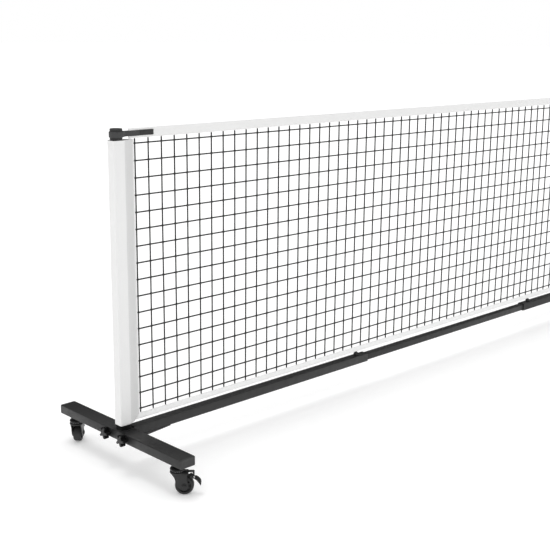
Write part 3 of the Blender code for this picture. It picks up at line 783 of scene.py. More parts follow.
def star_knob_shell():
    """Its own frame has +x out of the face it sits on."""
    s = Shell()
    n = 120
    rings = [lift(circ(7.6, n), "x", 0.45), lift(circ(7.9, n), "x", 0.8),
             lift(circ(7.9, n), "x", 2.4), lift(circ(8.2, n), "x", 2.9),
             lift(lobe_outline(0.90), "x", 3.0), lift(lobe_outline(0.955), "x", 3.3),
             lift(lobe_outline(0.98), "x", 4.4), lift(lobe_outline(1.0), "x", 15.8),
             lift(lobe_outline(0.985), "x", 17.3), lift(lobe_outline(0.95), "x", 18.4),
             lift(lobe_outline(0.89), "x", 19.1), lift(lobe_outline(0.80), "x", 19.3),
             lift(circ(6.8, n), "x", 19.3), lift(circ(6.5, n), "x", 18.8),
             lift(circ(6.1, n), "x", 18.7), lift(circ(5.8, n), "x", 19.1),
             lift(circ(3.0, n), "x", 19.2)]
    s.rings(rings)
    # the flanks get the near-black material: painted shade for the deep shade between the
    # lobes
    for k in range(0, 8 * n):
        s.m[k] = 2
    return s


def knob_piece(node, body, world, shank):
    s = star_knob_shell()
    s.turned([(3.2, -shank), (3.9, -shank + 0.8), (3.9, 0.7)], 24, axis="x", mat=1)
    s.turned([(4.0, 0.42), (9.0, 0.42), (9.4, 0.8), (9.0, 1.3), (4.0, 1.3)], 48,
             axis="x", mat=1)
    build(s, node + "_skin", [M_KNOB, M_FORK, M_SHADE_BLACK], body, node,
          world, 32)


# ------------------------------------------------------------ casters

def caster_world(tag):
    """The caster's own frame, from its swivel and roll joints."""
    j = {q["name"]: q for q in frame["joints"]}
    p, q = j["swivel_" + tag]["pos_m"], j["roll_" + tag]["pos_m"]
    head = math.degrees(math.atan2(q[1] - p[1], q[0] - p[0]))
    return shift(x=p[0] / MM, y=p[1] / MM) @ turn(head)


def mount_piece(tag, world):
    s = Shell()
    z = BEAM_Z0 - 0.3
    s.turned(fillet([(7.0, 73.0), (7.2, 76.2), (17.4, 79.2), (18.0, 80.2), (18.0, z),
                     (6.0, z)], [0, 1.0, 1.5, .5, .4, 0], 3, closed=False), 64)
    s.prism(hexagon(11.0), "z", 74.6, 80.0, 0.7, 2)
    # threaded stem
    prof = []
    for k in range(36):
        prof.append((4.9 if k % 2 == 0 else 4.4, z - 1 + k * 0.38))
    s.turned(prof, 20)
    build(s, "caster_mount_skin_" + tag, M_FORK, "frame", "caster_mount_" + tag,
          world, 30)


def fork_piece(tag, world):
    s = Shell()
    # crown disc, ball track and race cover
    lower = fillet([(3.0, 57.6), (19.5, 57.6), (19.5, 61.4), (18.2, 62.3), (15.2, 62.8),
                    (15.2, 64.6), (3.0, 64.6)], [0, .8, 1.0, .6, .4, 0, 0], 3, closed=False)
    s.turned(lower, 72)
    upper = fillet([(3.0, 64.8), (15.2, 64.8), (15.4, 66.5), (19.2, 66.7), (19.5, 68.2),
                    (18.6, 71.0), (15.0, 72.6), (3.0, 72.6)],
                   [0, 0, .5, .8, 1.0, 1.6, 1.5, 0], 4, closed=False)
    s.turned(upper, 72)
    for k in range(22):                      # the balls in the open gap
        a = 2 * math.pi * k / 22
        s.turned([(0.35, -1.42), (1.0, -1.05), (1.4, -0.4), (1.4, 0.4), (1.0, 1.05),
                  (0.35, 1.42)], 10, mat=1,
                 at=shift(16.4 * math.cos(a), 16.4 * math.sin(a), 64.6))
    # crown plate over the wheel
    crown = fillet([(-5.0, -15.0), (26.2, -15.0), (28.5, -11.0), (28.5, 11.0),
                    (26.2, 15.0), (-5.0, 15.0), (-13.0, 8.0), (-13.0, -8.0)], 2.0, 4)
    s.prism(crown, "z", 57.6, 60.2, 0.5, 2)
    # legs: pressed plates, rounded over at the shoulder
    leg = [(-15.0, 59.4), (-12.6, 55.8), (-8.4, 50.0), (-5.4, 43.4), (-4.2, 35.0),
           (0.0, 24.0), (7.5, 16.0), (16.5, 13.2), (24.5, 15.2), (28.6, 22.0),
           (27.6, 34.0), (25.6, 44.0), (25.6, 59.4)]
    leg = fillet(leg, [0.8, 3, 6, 8, 9, 10, 8, 8, 8, 8, 12, 6, 0.8], 5)
    for sy in (-1, 1):
        y0, y1 = sorted((sy * 12.4, sy * 15.1))
        s.prism(leg, "y", y0, y1, 0.6, 2)
        # raised boss pressed round the axle
        ring = circ(9.2, 48, TRAIL, WHEEL_R)
        y0, y1 = sorted((sy * 14.6, sy * 15.7))
        s.prism(ring, "y", y0, y1, 0.5, 2)
        # axle: domed head one side, hex nut the other
        if sy < 0:
            prof = [(6.3, 15.5), (6.4, 16.0), (6.0, 17.0), (4.6, 17.9), (2.2, 18.4),
                    (0.3, 18.5)]
            s.turned(prof, 40, axis="y", at=shift(x=TRAIL, z=WHEEL_R) @ mirror_y())
        else:
            s.prism(hexagon(6.4, TRAIL, WHEEL_R), "y", 15.5, 18.2, 0.6, 2)
            s.turned([(3.4, 18.0), (3.4, 18.7), (2.8, 19.2)], 20, axis="y",
                     at=shift(x=TRAIL, z=WHEEL_R))
    s.turned([(3.9, -15.0), (3.9, 15.0)], 28, axis="y", at=shift(x=TRAIL, z=WHEEL_R))
    # tail that carries the pedal, and the open catch on it
    tail = [(24.6, 58.2), (24.6, 50.4), (28.5, 48.9), (33.0, 46.9), (41.6, 46.9),
            (41.6, 52.0), (28.2, 52.0), (28.2, 58.2)]
    s.prism(fillet(tail, [0, 1.0, 2.0, 2.0, 1.2, 0.8, 0.8, 0], 4), "y", -4.9, 4.9,
            0.7, 3)
    catch = [(17.5, 59.8), (39.6, 59.8), (39.6, 50.2), (43.9, 50.2), (43.9, 62.8),
             (17.5, 62.8)]
    s.prism(fillet(catch, [0, 1.2, 0.4, 1.0, 2.2, 0], 4), "y", -5.0, 5.0, 0.8, 3)
    # pivot pin with its two peened heads
    s.turned([(2.1, -8.0), (2.1, 8.0)], 24, axis="y", at=shift(x=34.5, z=49.4))
    for sy in (-1, 1):
        s.turned([(2.0, 7.7), (3.3, 7.7), (3.3, 8.1), (2.6, 8.9), (1.2, 9.3),
                  (0.2, 9.35)], 28, axis="y",
                 at=shift(x=34.5, z=49.4) @ (mirror_y() if sy < 0 else np.eye(4)))
    build(s, "caster_fork_skin_" + tag, [M_FORK, M_BALL], "fork_" + tag,
          "caster_fork_" + tag, world, 32)


def wheel_piece(tag, world):
    s = Shell()
    at = shift(x=TRAIL, z=WHEEL_R)
    R = WHEEL_R
    tread = fillet([(17.6, -10.2), (21.4, -10.9), (23.4, -9.6), (R, -5.5), (R, 5.5),
                    (23.4, 9.6), (21.4, 10.9), (17.6, 10.2)],
                   [.4, 1.0, 2.0, 6.0, 6.0, 2.0, 1.0, .4], 4)
    s.turned(tread, 96, axis="y", wrap=True, at=at)
    core = [(4.3, -11.4), (8.2, -11.4), (8.9, -10.8), (9.4, -7.4), (10.2, -6.9),
            (15.6, -6.9), (16.6, -7.6), (17.0, -9.9), (17.5, -10.4), (18.3, -10.2),
            (18.3, 10.2), (17.5, 10.4), (17.0, 9.9), (16.6, 7.6), (15.6, 6.9),
            (10.2, 6.9), (9.4, 7.4), (8.9, 10.8), (8.2, 11.4), (4.3, 11.4)]
    s.turned(core, 96, axis="y", wrap=True, mat=1, at=at)
    for sy in (-1, 1):                        # ribs of the moulded core
        for k in range(8):
            y0, y1 = sorted((sy * 6.4, sy * 9.6))
            s.prism(rrect(8.2, 1.7, 0.6, 3, 12.9, 0.0), "z", y0, y1, 0.4, 1, mat=1,
                    at=at @ turn(45 * k + 10, "y") @ turn(90, "x"))
    build(s, "caster_wheel_skin_" + tag, [M_TYRE, M_RIM], "wheel_" + tag,
          "caster_wheel_" + tag, world, 35)


def pedal_piece(tag, world):
    """Foot lever: two cheeks on the pin and a thick curved pad."""
    s = Shell()
    pad = [(44.6, 46.4), (44.6, 42.4), (48.2, 40.0), (52.4, 36.0), (56.0, 31.4),
           (58.6, 26.6), (59.6, 25.2), (60.7, 26.2), (61.1, 30.0), (60.2, 34.4),
           (57.2, 39.0), (53.0, 43.2), (48.5, 46.0)]
    line = fillet(pad, [1.2, 1.2, 10, 16, 16, 6, .6, .8, 8, 10, 12, 10, 6], 5)
    s.prism(line, "y", -9.5, 9.5, 1.5, 4)
    cheek = fillet([(30.8, 50.6), (30.8, 47.4), (33.5, 45.6), (42.0, 43.2),
                    (46.4, 42.4), (46.4, 45.6), (41.0, 47.6), (38.3, 50.8),
                    (36.8, 52.9), (34.5, 53.4), (32.2, 52.9)],
                   [2.5, 2, 3, 4, .4, .4, 4, 4, 2, 2.4, 2], 4)
    for sy in (-1, 1):
        y0, y1 = sorted((sy * 5.4, sy * 7.5))
        s.prism(cheek, "y", y0, y1, 0.5, 2)
    # grip ribs across the pad
    a = np.array([48.5, 46.0]), np.array([53.0, 43.2]), np.array([57.2, 39.0]), \
        np.array([60.2, 34.4])
    for k in range(7):
        t = 0.25 + k * 0.40
        i = min(int(t), 2)
        c = a[i] + (a[i + 1] - a[i]) * (t - i)
        s.prism(circ(0.8, 12, c[0], c[1]), "y", -7.2, 7.2, 0.5, 2)
    build(s, "caster_pedal_skin_" + tag, M_FORK, "pedal_" + tag,
          "caster_pedal_" + tag, world, 35)


# ------------------------------------------------------------ sewn goods

def stitch_row(shell, a, b, out, pitch=5.0, length=3.6, r=0.34, mat=0):
    """Raised thread stitches from a to b on a face whose normal is out."""
    a, b, out = (np.asarray(q, float) for q in (a, b, out))
    d = b - a
    L = float(np.linalg.norm(d))
    d /= L
    w = np.cross(out, d)
    n = max(1, int(L / pitch))
    # one stitch: a flattened bead, five rings of six
    ring = circ(1.0, 6)
    vs, fs = [], []
    prof = [(-0.5, 0.25, -0.25), (-0.36, 0.85, 0.0), (0.0, 1.0, 0.12), (0.36, 0.85, 0.0),
            (0.5, 0.25, -0.25)]
    for tt, sc, up in prof:
        for u, v in ring:
            vs.append((tt * length, u * r * 1.25 * sc, (v * sc + up) * r))
    for i in range(4):
        for j in range(6):
            jj = (j + 1) % 6
            fs.append([i * 6 + j, i * 6 + jj, (i + 1) * 6 + jj, (i + 1) * 6 + j])
    fs.append(list(range(6))[::-1])
    fs.append([24 + j for j in range(6)])
    V = np.array(vs)
    base = V[:, :1] * d + V[:, 1:2] * w + V[:, 2:] * out
    step = L / n
    offs = a + d * ((np.arange(n) + 0.5) * step)[:, None]
    P = (offs[:, None, :] + base[None]).reshape(-1, 3)
    m = len(V)
    k0 = shell.n
    shell.v.append(P)
    for q in range(n):
        o = k0 + q * m
        shell.f.extend([[i + o for i in f] for f in fs])
        shell.uv.extend([[(0.0, 0.0)] * len(f) for f in fs])
        shell.m.extend([mat] * len(fs))
    shell.n += len(P)


def wavy(x, z, k=0.0):
    """Small slow unevenness of sewn cloth, in millimetres."""
    return (0.5 * math.sin(x * 0.021 + 1.3 + k) + 0.3 * math.sin(x * 0.053 + z * 0.03 + k)
            + 0.2 * math.sin(z * 0.047 + 2.1 * k))


def sleeve_section(grow=0.0):
    """Outer outline of the pocket, with a turned seam on its outer front corner."""
    g = grow
    base = fillet([(-20.5 - g, -17.8 - g), (13.4 + g, -17.8 - g), (20.2 + g, -8.0),
                   (20.2 + g, 8.0), (13.4 + g, 17.8 + g), (-20.5 - g, 17.8 + g)],
                  [4.0, 2.5, 6.0, 6.0, 3.0, 12.0], 7)
    # straight runs get their own points, so that the cloth can undulate
    pts = []
    n = len(base)
    for i in range(n):
        p, q = base[i], base[(i + 1) % n]
        pts.append(p)
        d = float(np.linalg.norm(q - p))
        k = int(d // 3.0)
        for j in range(1, k + 1):
            pts.append(p + (q - p) * j / (k + 1))
    return np.array(pts)


def sleeve_piece(end):
    s = Shell()
    base = sleeve_section()
    nrm = inset(base, -1.0) - base
    nrm /= np.linalg.norm(nrm, axis=1, keepdims=True)
    ang = np.arctan2(base[:, 1], base[:, 0])
    # the seam along the (-x, -y) corner: a narrow ridge
    corner = np.array([-20.5 + 4.0 * 0.29, -17.8 + 4.0 * 0.29])
    dist = np.linalg.norm(base - corner, axis=1)
    ridge = 0.6 * np.exp(-(dist / 1.3) ** 2)
    z0, z1 = SLV_Z0, SLV_Z1
    hem = 13.0
    zs = sorted(set(
        [z0, z0 + 0.35, z0 + 0.9, z0 + hem - 0.6, z0 + hem, z0 + hem + 0.6,
         z1 - hem - 0.6, z1 - hem, z1 - hem + 0.6, z1 - 0.9, z1 - 0.35, z1]
        + list(np.linspace(z0 + hem + 4, z1 - hem - 4, 60))))

    def off(z):
        e = min(z - z0, z1 - z)
        h = 0.0
        if e < hem:
            h = 0.45
        if abs(e - hem) < 0.3:
            h = 0.1
        if e < 0.3:
            h = -0.1
        elif e < 0.8:
            h = 0.3
        return h
    outer = []
    for z in zs:
        d = np.array([0.45 * wavy(30 * a, z, 0.7) for a in ang])
        soft = min(1.0, min(z - z0, z1 - z) / 40.0)
        # each flat side is drawn in a touch towards the post
        flat = 0.35 * np.clip(1 - np.abs(np.abs(ang) % (np.pi / 2) - 0) / 0.6, 0, 1)
        outer.append(lift(base + nrm * (d * soft - flat * soft + ridge + off(z)
                                        - 0.35)[:, None], "z", z))
    inner = []
    for z in zs[::-1]:
        q = inset(base, 1.5)
        inner.append(lift(q, "z", z))
    s.rings(outer + inner, wrap=True)
    # the sides run together in a V, cut on the slant above the bottom tape
    zt, x1, xf, xh, yh = z1, BAND_X1, 13.4, 49.5, 1.2
    fall = (17.8 - yh) / (xh - xf)

    def side_y(x):
        return yh + max(0.0, xh - x) * fall

    def foot(x):
        return z0 + 1.0 + max(0.0, x - 30.0) / (x1 - 30.0) * (BOT_Z1 - z0 - 2.0)
    cols = [13.1, 14.6, 16.4, 17.2, 20.5, 24.0, 28.0, 32.0, 36.0, 40.0, 44.0, 47.0, 49.2]
    sink = [0.45, 0.05, 0.12, 0.0, 0.0, 0.0, 0.0, 0.0, 0.0, 0.0, 0.0, 0.0, 0.05]
    rows = np.concatenate([[0.0, 0.0006, 0.0014], np.linspace(0.008, 0.992, 90),
                           [0.9986, 0.9994, 1.0]])
    rings = []
    for v in rows:
        skin = [[], []]
        for x, d in zip(cols, sink):
            lo = foot(x)
            z = lo + (zt - lo) * v
            edge_soft = {0: 0.4, 1: 0.12}.get(int(round(min(v, 1 - v) / 0.0007)), 0.0)
            amp = min(1.0, 12 * v, 12 * (1 - v)) * min(1.0, max(0.0, x - 16.0) / 9.0,
                                                       max(0.0, xh - x) / 9.0)
            for k, sy in enumerate((-1, 1)):
                w = 0.3 * wavy(x * 2.2 + 40 * k, z * 1.3, 0.2) * amp
                skin[k].append((x, sy * (side_y(x) - d - edge_soft + w), z))
        # the inner faces lie 1.3 mm behind the outer ones
        back = [[(x, y - sy * min(1.3, abs(y) - 0.2), z) for x, y, z in sk]
                for sk, sy in zip(skin, (-1, 1))]
        rings.append(skin[0] + skin[1][::-1] + back[1] + back[0][::-1])
    # the band's faces take the darker copy of the white vinyl: painted shade
    s.rings(rings, mat=1)
    # the hem: a doubled flat strip with a sewn channel
    cols = [48.4, 49.6, 50.2, 50.8, 51.4, 52.8, 53.3, x1]
    thick = [1.0, 1.3, 1.2, 0.95, 1.2, 1.15, 0.8, 0.15]
    rings = []
    for v in np.linspace(0, 1, 80):
        front, rear = [], []
        for x, tt in zip(cols, thick):
            z = foot(x) + (zt - foot(x)) * v
            ends = min(1.0, 0.45 + 30 * min(v, 1 - v))
            front.append((x, -tt * ends, z))
            rear.append((x, tt * ends, z))
        rings.append(front + rear[::-1])
    s.rings(rings)
    # sewing: hems of the pocket, the seam beside it and the band's free edge
    for z in (z0 + hem - 2.2, z1 - hem + 2.2):
        loop = resample(inset(base, -0.35), 4.4, closed=True)
        loop = np.vstack([loop, loop[:1]])
        for p, q in zip(loop[:-1], loop[1:]):
            o = np.array([(p[1] - q[1]), (q[0] - p[0]), 0.0]) * -1
            o /= np.linalg.norm(o)
            stitch_row(s, (p[0], p[1], z), (q[0], q[1], z), o, 4.4, 3.2, 0.3, 2)
    for sy in (-1, 1):
        out = (0.418, sy * 0.909, 0.0)
        stitch_row(s, (16.7, sy * side_y(16.7), z0 + 6), (16.7, sy * side_y(16.7), zt - 3),
                   out, mat=2)
        stitch_row(s, (50.8, sy * 1.05, z0 + 18), (50.8, sy * 1.05, zt - 3), (0, sy, 0),
                   mat=2)
        stitch_row(s, (31.5, sy * side_y(31.5), foot(31.5) + 2.4),
                   (47.6, sy * side_y(47.6), foot(47.6) + 2.4), out, mat=2)
    build(s, "net_pocket_" + end, [M_VINYL, M_BAND_SHADED, M_THREAD], "frame",
          "net_sleeve_" + end, ENDS[end], 50)


def tape_section(z0, z1, kind):
    """Half section (half thickness at each height) of a folded tape."""
    if kind == "top":
        h = z1 - z0
        pts = [(0.55, 0.0), (1.05, 0.3), (1.3, 1.0), (1.38, 2.6), (1.22, 3.4), (1.24, 3.8),
               (1.42, 4.6), (1.5, 7.0), (1.5, h - 9.6), (1.46, h - 8.2), (1.3, h - 7.4),
               (1.3, h - 7.0), (1.52, h - 6.2), (1.66, h - 4.6), (1.7, h - 3.0),
               (1.6, h - 1.4), (1.2, h - 0.5), (0.55, h - 0.06)]
    else:
        h = z1 - z0
        pts = [(0.6, 0.08), (1.4, 0.5), (1.8, 1.4), (1.9, 2.6), (1.8, 4.0), (1.55, 6.0),
               (1.5, h - 5.6), (1.35, h - 4.4), (1.02, h - 3.6), (1.0, h - 3.2),
               (1.3, h - 2.2), (1.2, h - 1.2), (0.95, h - 0.35), (0.55, h)]
    return [(t, z0 + dz) for t, dz in pts]


def tape_piece(name, node, z0, z1, xe, kind):
    s = Shell()
    half = tape_section(z0, z1, kind)
    top = kind == "top"
    n = 260
    hem = 11.0 if top else 0.0
    xs = [0.0, 0.3, 0.8, 1.6]
    if top:
        xs += [hem - 0.7, hem, hem + 0.6]
    xs = np.array(xs)
    inner = np.linspace(hem + 14, 2 * xe - hem - 14, n)
    dist = np.concatenate([xs, inner, 2 * xe - xs[::-1]])
    rings = []
    for d in dist:
        e = min(d, 2 * xe - d)
        x = d - xe
        sgn = -1 if d < xe else 1
        fat = 0.35 if (top and e < hem) else 0.0
        thin = {0.0: 0.35, 0.3: 0.72, 0.8: 0.92}.get(round(float(e), 2), 1.0)
        ring = []
        for side in (-1, 1):
            seq = half if side < 0 else half[::-1]
            for t, z in seq:
                w = 0.22 * wavy(x * 1.3, z * 2, 0.4) * min(1.0, e / 60)
                zz = z + (0.18 * math.sin(x * 0.013) * min(1.0, e / 60) if top else 0.0)
                xx = x
                if not top:
                    # the ends are cut on the slant to meet the side bands
                    slant = (z - z0) / (z1 - z0) * 29.0
                    xx = x - sgn * slant * max(0.0, 1 - e / 60.0)
                if top:
                    zz = min(zz, z1)
                ring.append((xx, side * (t * thin + fat) + w, zz))
        rings.append(ring)
    s.rings(rings)
    for sy in (-1, 1):
        if top:
            x1 = xe - hem - 2
            stitch_row(s, (-x1, sy * 1.02, z0 + 3.6), (x1, sy * 1.02, z0 + 3.6),
                       (0, sy, 0), mat=1)
            stitch_row(s, (-x1, sy * 1.1, z1 - 7.2), (x1, sy * 1.1, z1 - 7.2),
                       (0, sy, 0), mat=1)
            for e in (-1, 1):
                stitch_row(s, (e * (xe - hem + 2.5), sy * 1.75, z0 + 2),
                           (e * (xe - hem + 2.5), sy * 1.75, z1 - 7), (0, sy, 0), 4.2,
                           3.0, 0.3, 1)
        else:
            x1 = xe - 34
            stitch_row(s, (-x1, sy * 1.05, z1 - 3.4), (x1, sy * 1.05, z1 - 3.4),
                       (0, sy, 0), mat=1)
    # the bottom tape takes the brighter copy of the white vinyl: painted light
    build(s, name, [M_VINYL if top else M_BOTTOM_TAPE_LIT, M_THREAD], "frame", node,
          None, 50)


def strap_piece(end):
    """Belt of webbing: round the post, both ends along the tape, sewn and
    closed with hook tape."""
    s = Shell()
    z0, z1 = STRAP_Z0, STRAP_Z1
    zc, hw = (z0 + z1) / 2, (z1 - z0) / 2
    r = POST_R + 1.55
    yl = 2.75                                 # centre of each leg, off the tape
    xt = 25.5
    d = math.hypot(xt, yl)
    start = math.atan2(yl, xt) + math.acos(r / d)
    arc = [(r * math.cos(a), r * math.sin(a))
           for a in np.linspace(start, 2 * math.pi - start, 60)]
    path = [(STRAP_X1 - 0.4, yl + 0.1), (xt, yl)] + arc + \
           [(xt, -yl), (STRAP_X1 - 0.4, -yl - 0.1)]
    rad = [0, 6.0] + [0] * 60 + [6.0, 0]
    path = resample(fillet(path, rad, 5, closed=False), 1.5)
    P = np.stack([path[:, 0], path[:, 1], np.full(len(path), zc)], 1)
    # keep the sagging of a flat belt small
    P[:, 2] += 0.15 * np.sin(path[:, 0] * 0.09)
    n = 14
    u = np.linspace(-1, 1, n)
    soft = 0.80 - 0.30 * np.abs(u) ** 6

    def sec(k):
        a = np.stack([soft, u * hw], 1)
        b = np.stack([-soft[::-1], u[::-1] * hw], 1)
        return np.vstack([a, b])
    s.sweep(P, sec, (0, 0, 1))
    # hook tape laid over the tails
    for sy in (-1, 1):
        pad = [(x, sy * (yl + 0.95 + 0.1)) for x in (72.0, STRAP_X1 - 4.0)]
        p = resample(pad, 1.5)
        Q = np.stack([p[:, 0], p[:, 1], np.full(len(p), zc)], 1)
        uu = np.linspace(-1, 1, 10)
        so = 0.36 - 0.16 * np.abs(uu) ** 6
        secp = np.vstack([np.stack([so, uu * (hw - 0.9)], 1),
                          np.stack([-so[::-1], uu[::-1] * (hw - 0.9)], 1)])
        s.sweep(Q, secp, (0, 0, 1), mat=1)
        # box of stitches at the sewn end, and edge stitching
        y = sy * (yl + 1.42)
        xa, xb = 74.0, STRAP_X1 - 6.0
        for z in (zc - hw + 2.2, zc + hw - 2.2):
            stitch_row(s, (xa, y, z), (xb, y, z), (0, sy, 0), 3.4, 2.5, 0.28, 2)
        for x in (xa, xb):
            stitch_row(s, (x, y, zc - hw + 2.2), (x, y, zc + hw - 2.2), (0, sy, 0),
                       3.2, 2.4, 0.28, 2)
    build(s, "tension_strap_skin_" + end, [M_STRAP, M_HOOK, M_BTHREAD], "frame",
          "tension_strap_" + end, ENDS[end], 45)


# ------------------------------------------------------------ the net

CORD_R = 2.15
CELL_Z = 45.0
ROWS = 17
COLS = 154


def cord_set(name, lines, stations, run, sides=6):
    """Straight cords that swell at each crossing.  lines is (n, 3), the cords'
    fixed coordinates; stations the crossings along the run axis."""
    around = 2 * np.pi * np.arange(sides) / sides
    st = []
    for i, c in enumerate(stations["cross"]):
        for d, k in ((-2.7, 1.0), (-1.5, 1.32), (0.0, 1.62), (1.5, 1.32), (2.7, 1.0)):
            st.append((c + d, k))
    cross = stations["cross"]
    for a, b in zip(cross[:-1], cross[1:]):
        st.append(((a + b) / 2, 0.96))
    # the ends are drawn thin where they are sewn in
    for e, sg in ((stations["start"], 1), (stations["stop"], -1)):
        t = stations["tuck"]
        st += [(e, 0.30), (e + sg * t, 0.42), (e + sg * (t + 1.2), 0.80),
               (e + sg * (t + 2.4), 1.0)]
    st.sort()
    pos = np.array([p for p, _ in st])
    rad = np.array([k for _, k in st]) * CORD_R
    m = len(pos)
    V, F, UV = [], [], []
    n0 = 0
    o = {"z": (0, 1, 2), "x": (1, 2, 0)}[run]
    quads = np.array([[a * sides + i, a * sides + (i + 1) % sides,
                       (a + 1) * sides + (i + 1) % sides, (a + 1) * sides + i]
                      for a in range(m - 1) for i in range(sides)])
    uv1 = np.array([[(i / sides, pos[a]), ((i + 1) / sides, pos[a]),
                     ((i + 1) / sides, pos[a + 1]), (i / sides, pos[a + 1])]
                    for a in range(m - 1) for i in range(sides)])
    caps = [list(range(sides))[::-1], [(m - 1) * sides + i for i in range(sides)]]
    for q, line in enumerate(lines):
        wob = 0.16 * np.sin(pos * 0.011 + q * 1.7)
        A = np.zeros((m, sides, 3))
        A[:, :, o[0]] = line[o[0]] + (rad[:, None] * np.cos(around)) + wob[:, None]
        A[:, :, o[1]] = line[o[1]] + (rad[:, None] * np.sin(around))
        A[:, :, o[2]] = pos[:, None]
        V.append(A.reshape(-1, 3))
        F.extend((quads + n0).tolist())
        F.extend([[i + n0 for i in c] for c in caps])
        UV.append(uv1.reshape(-1, 2))
        UV.append(np.zeros((2 * sides, 2)))
        n0 += m * sides
    pts = np.concatenate(V) * MM
    me = bpy.data.meshes.new(name)
    me.from_pydata(pts.tolist(), [], F)
    uv = np.concatenate(UV).astype(np.float32)
    uv[:, 1] *= 0.01
    layer = me.uv_layers.new(name="mm")
    layer.data.foreach_set("uv", uv.ravel())
    me.materials.append(M_CORD)
    me.shade_smooth()
    ob = bpy.data.objects.new(name, me)
    bpy.context.scene.collection.objects.link(ob)
    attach(ob, "frame")
    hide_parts("net_mesh")
    return ob


def net_pieces():
    half = POST_X - 57.4
    xs = np.linspace(-half, half, COLS)
    zs = 873.0 - CELL_Z * np.arange(ROWS)[::-1]
    cord_set("net_cords_up", [(x, 0.0, 0.0) for x in xs],
             {"cross": list(zs), "start": BOT_Z1 - 3.4, "stop": TOP_Z0 + 3.4,
              "tuck": 3.2}, "z")
    cord_set("net_cords_along", [(0.0, 0.0, z) for z in zs],
             {"cross": list(xs), "start": -(POST_X - BAND_X1 + 2.6),
              "stop": POST_X - BAND_X1 + 2.6, "tuck": 2.4}, "x")


# ------------------------------------------------------------ centre foot

def soften(node, width=0.7, seg=3):
    """A carried-over frame node gets softened edges."""
    ob = frame["nodes"][node]
    b = ob.modifiers.new("edge", "BEVEL")
    b.width = width * MM
    b.segments = seg
    b.limit_method = "ANGLE"
    b.angle_limit = math.radians(40)
    return ob


def paint(node, mat):
    ob = frame["nodes"][node]
    ob.data.materials.clear()
    ob.data.materials.append(mat)


def centre_pieces():
    paint("centre_stand", M_STEEL)
    soften("centre_stand", 0.5)
    w = Shell()
    z0 = edge("centre_stand", 2, 0) + 3.0
    loop = resample(rrect(29.0, 27.0, 2.5, 4), 0.9, closed=True)
    weld(w, np.stack([loop[:, 0], loop[:, 1], np.full(len(loop), z0 + 0.3)], 1),
         (0, 0, 1), 1.4, closed=True)
    for sx in (-1, 1):
        for sy in (-1, 1):
            at = shift(sx * 17.2, sy * 32.0, z0)
            w.turned([(4.6, 0.0), (4.6, 0.9), (3.0, 1.0)], 32, mat=1, at=at)
            w.prism(hexagon(3.9), "z", 0.8, 4.2, 0.5, 2, mat=1, at=at)
    build(w, "centre_stand_welds", [M_STEEL, M_FORK], "frame", ())
    s = Shell()
    zc = 9.0 + BEAM_H / 2
    y = edge("centre_foot_bar", 1, 1)
    s.tube(rrect(BEAM_W, BEAM_H, 2.8, 6, 0, zc),
           rrect(BEAM_W - 3.6, BEAM_H - 3.6, 1.2, 6, 0, zc), "y", -y, y, 0.3)
    build(s, "centre_foot_bar_skin", M_STEEL, "frame", "centre_foot_bar")
    for f, sy in (("f", -1), ("b", 1)):
        c = Shell()
        at = None if sy > 0 else mirror_y()
        out = rrect(54.0, 38.6, 5.0, 7, 0, 19.3)
        inn = rrect(48.8, 26.8, 2.4, 7, 0, zc)
        c.rings([lift(inset(inn, 2.0), "y", 230.5), lift(inset(inn, 0.4), "y", 230.4),
                 lift(inn, "y", 229.6), lift(inn, "y", 192.7),
                 lift(inset(inn, -0.6), "y", 192.1), lift(inset(inn, -1.0), "y", 192.0),
                 lift(inset(out, 1.6), "y", 192.0), lift(inset(out, 0.4), "y", 192.4),
                 lift(out, "y", 193.6), lift(out, "y", 196.5),
                 lift(inset(out, 0.8), "y", 197.2), lift(inset(out, 0.8), "y", 198.0),
                 lift(out, "y", 198.8), lift(out, "y", 229.0),
                 lift(inset(out, 0.5), "y", 231.8), lift(inset(out, 1.8), "y", 233.4),
                 lift(inset(out, 3.6), "y", 234.0),
                 lift(rrect(38.0, 22.6, 0.6, 7, 0, 19.3), "y", 234.0)],
                at=at)
        # grip bars under the sole
        for k in range(5):
            c.prism(rrect(46.0, 2.6, 1.0, 3, 0, 199.0 + 7.4 * k), "z", 0.0, 1.2, 0.3, 1,
                    at=at)
        build(c, "foot_boot_skin_" + f, M_RUBBER, "frame", "foot_boot_" + f,
              None, 35)


# ------------------------------------------------------------ put together

def rail_ends():
    ax0, ax1 = edge("rail_a_l", 0, 0) + POST_X, edge("rail_a_l", 0, 1) + POST_X
    bx0, bx1 = edge("rail_b_l", 0, 0) + POST_X, edge("rail_b_l", 0, 1) + POST_X
    cx0, cx1 = edge("rail_c_l", 0, 0) + POST_X, edge("rail_c_l", 0, 1) + POST_X
    pins = [mid("lock_screw_l%d" % k)[0] + POST_X for k in (1, 2, 3)]
    for end, w in ENDS.items():
        rail_piece("rail_a_" + end, ax0, ax1, RAIL_OUT, 2.4, w, pins[:1])
        rail_piece("rail_b_" + end, bx0, bx1, RAIL_IN, 1.5, w)
        rail_piece("rail_c_" + end, cx0, cx1, RAIL_OUT, 2.4, w, pins[1:])
    rail_piece("rail_d", edge("rail_d", 0, 0), edge("rail_d", 0, 1), RAIL_IN, 1.5, None)


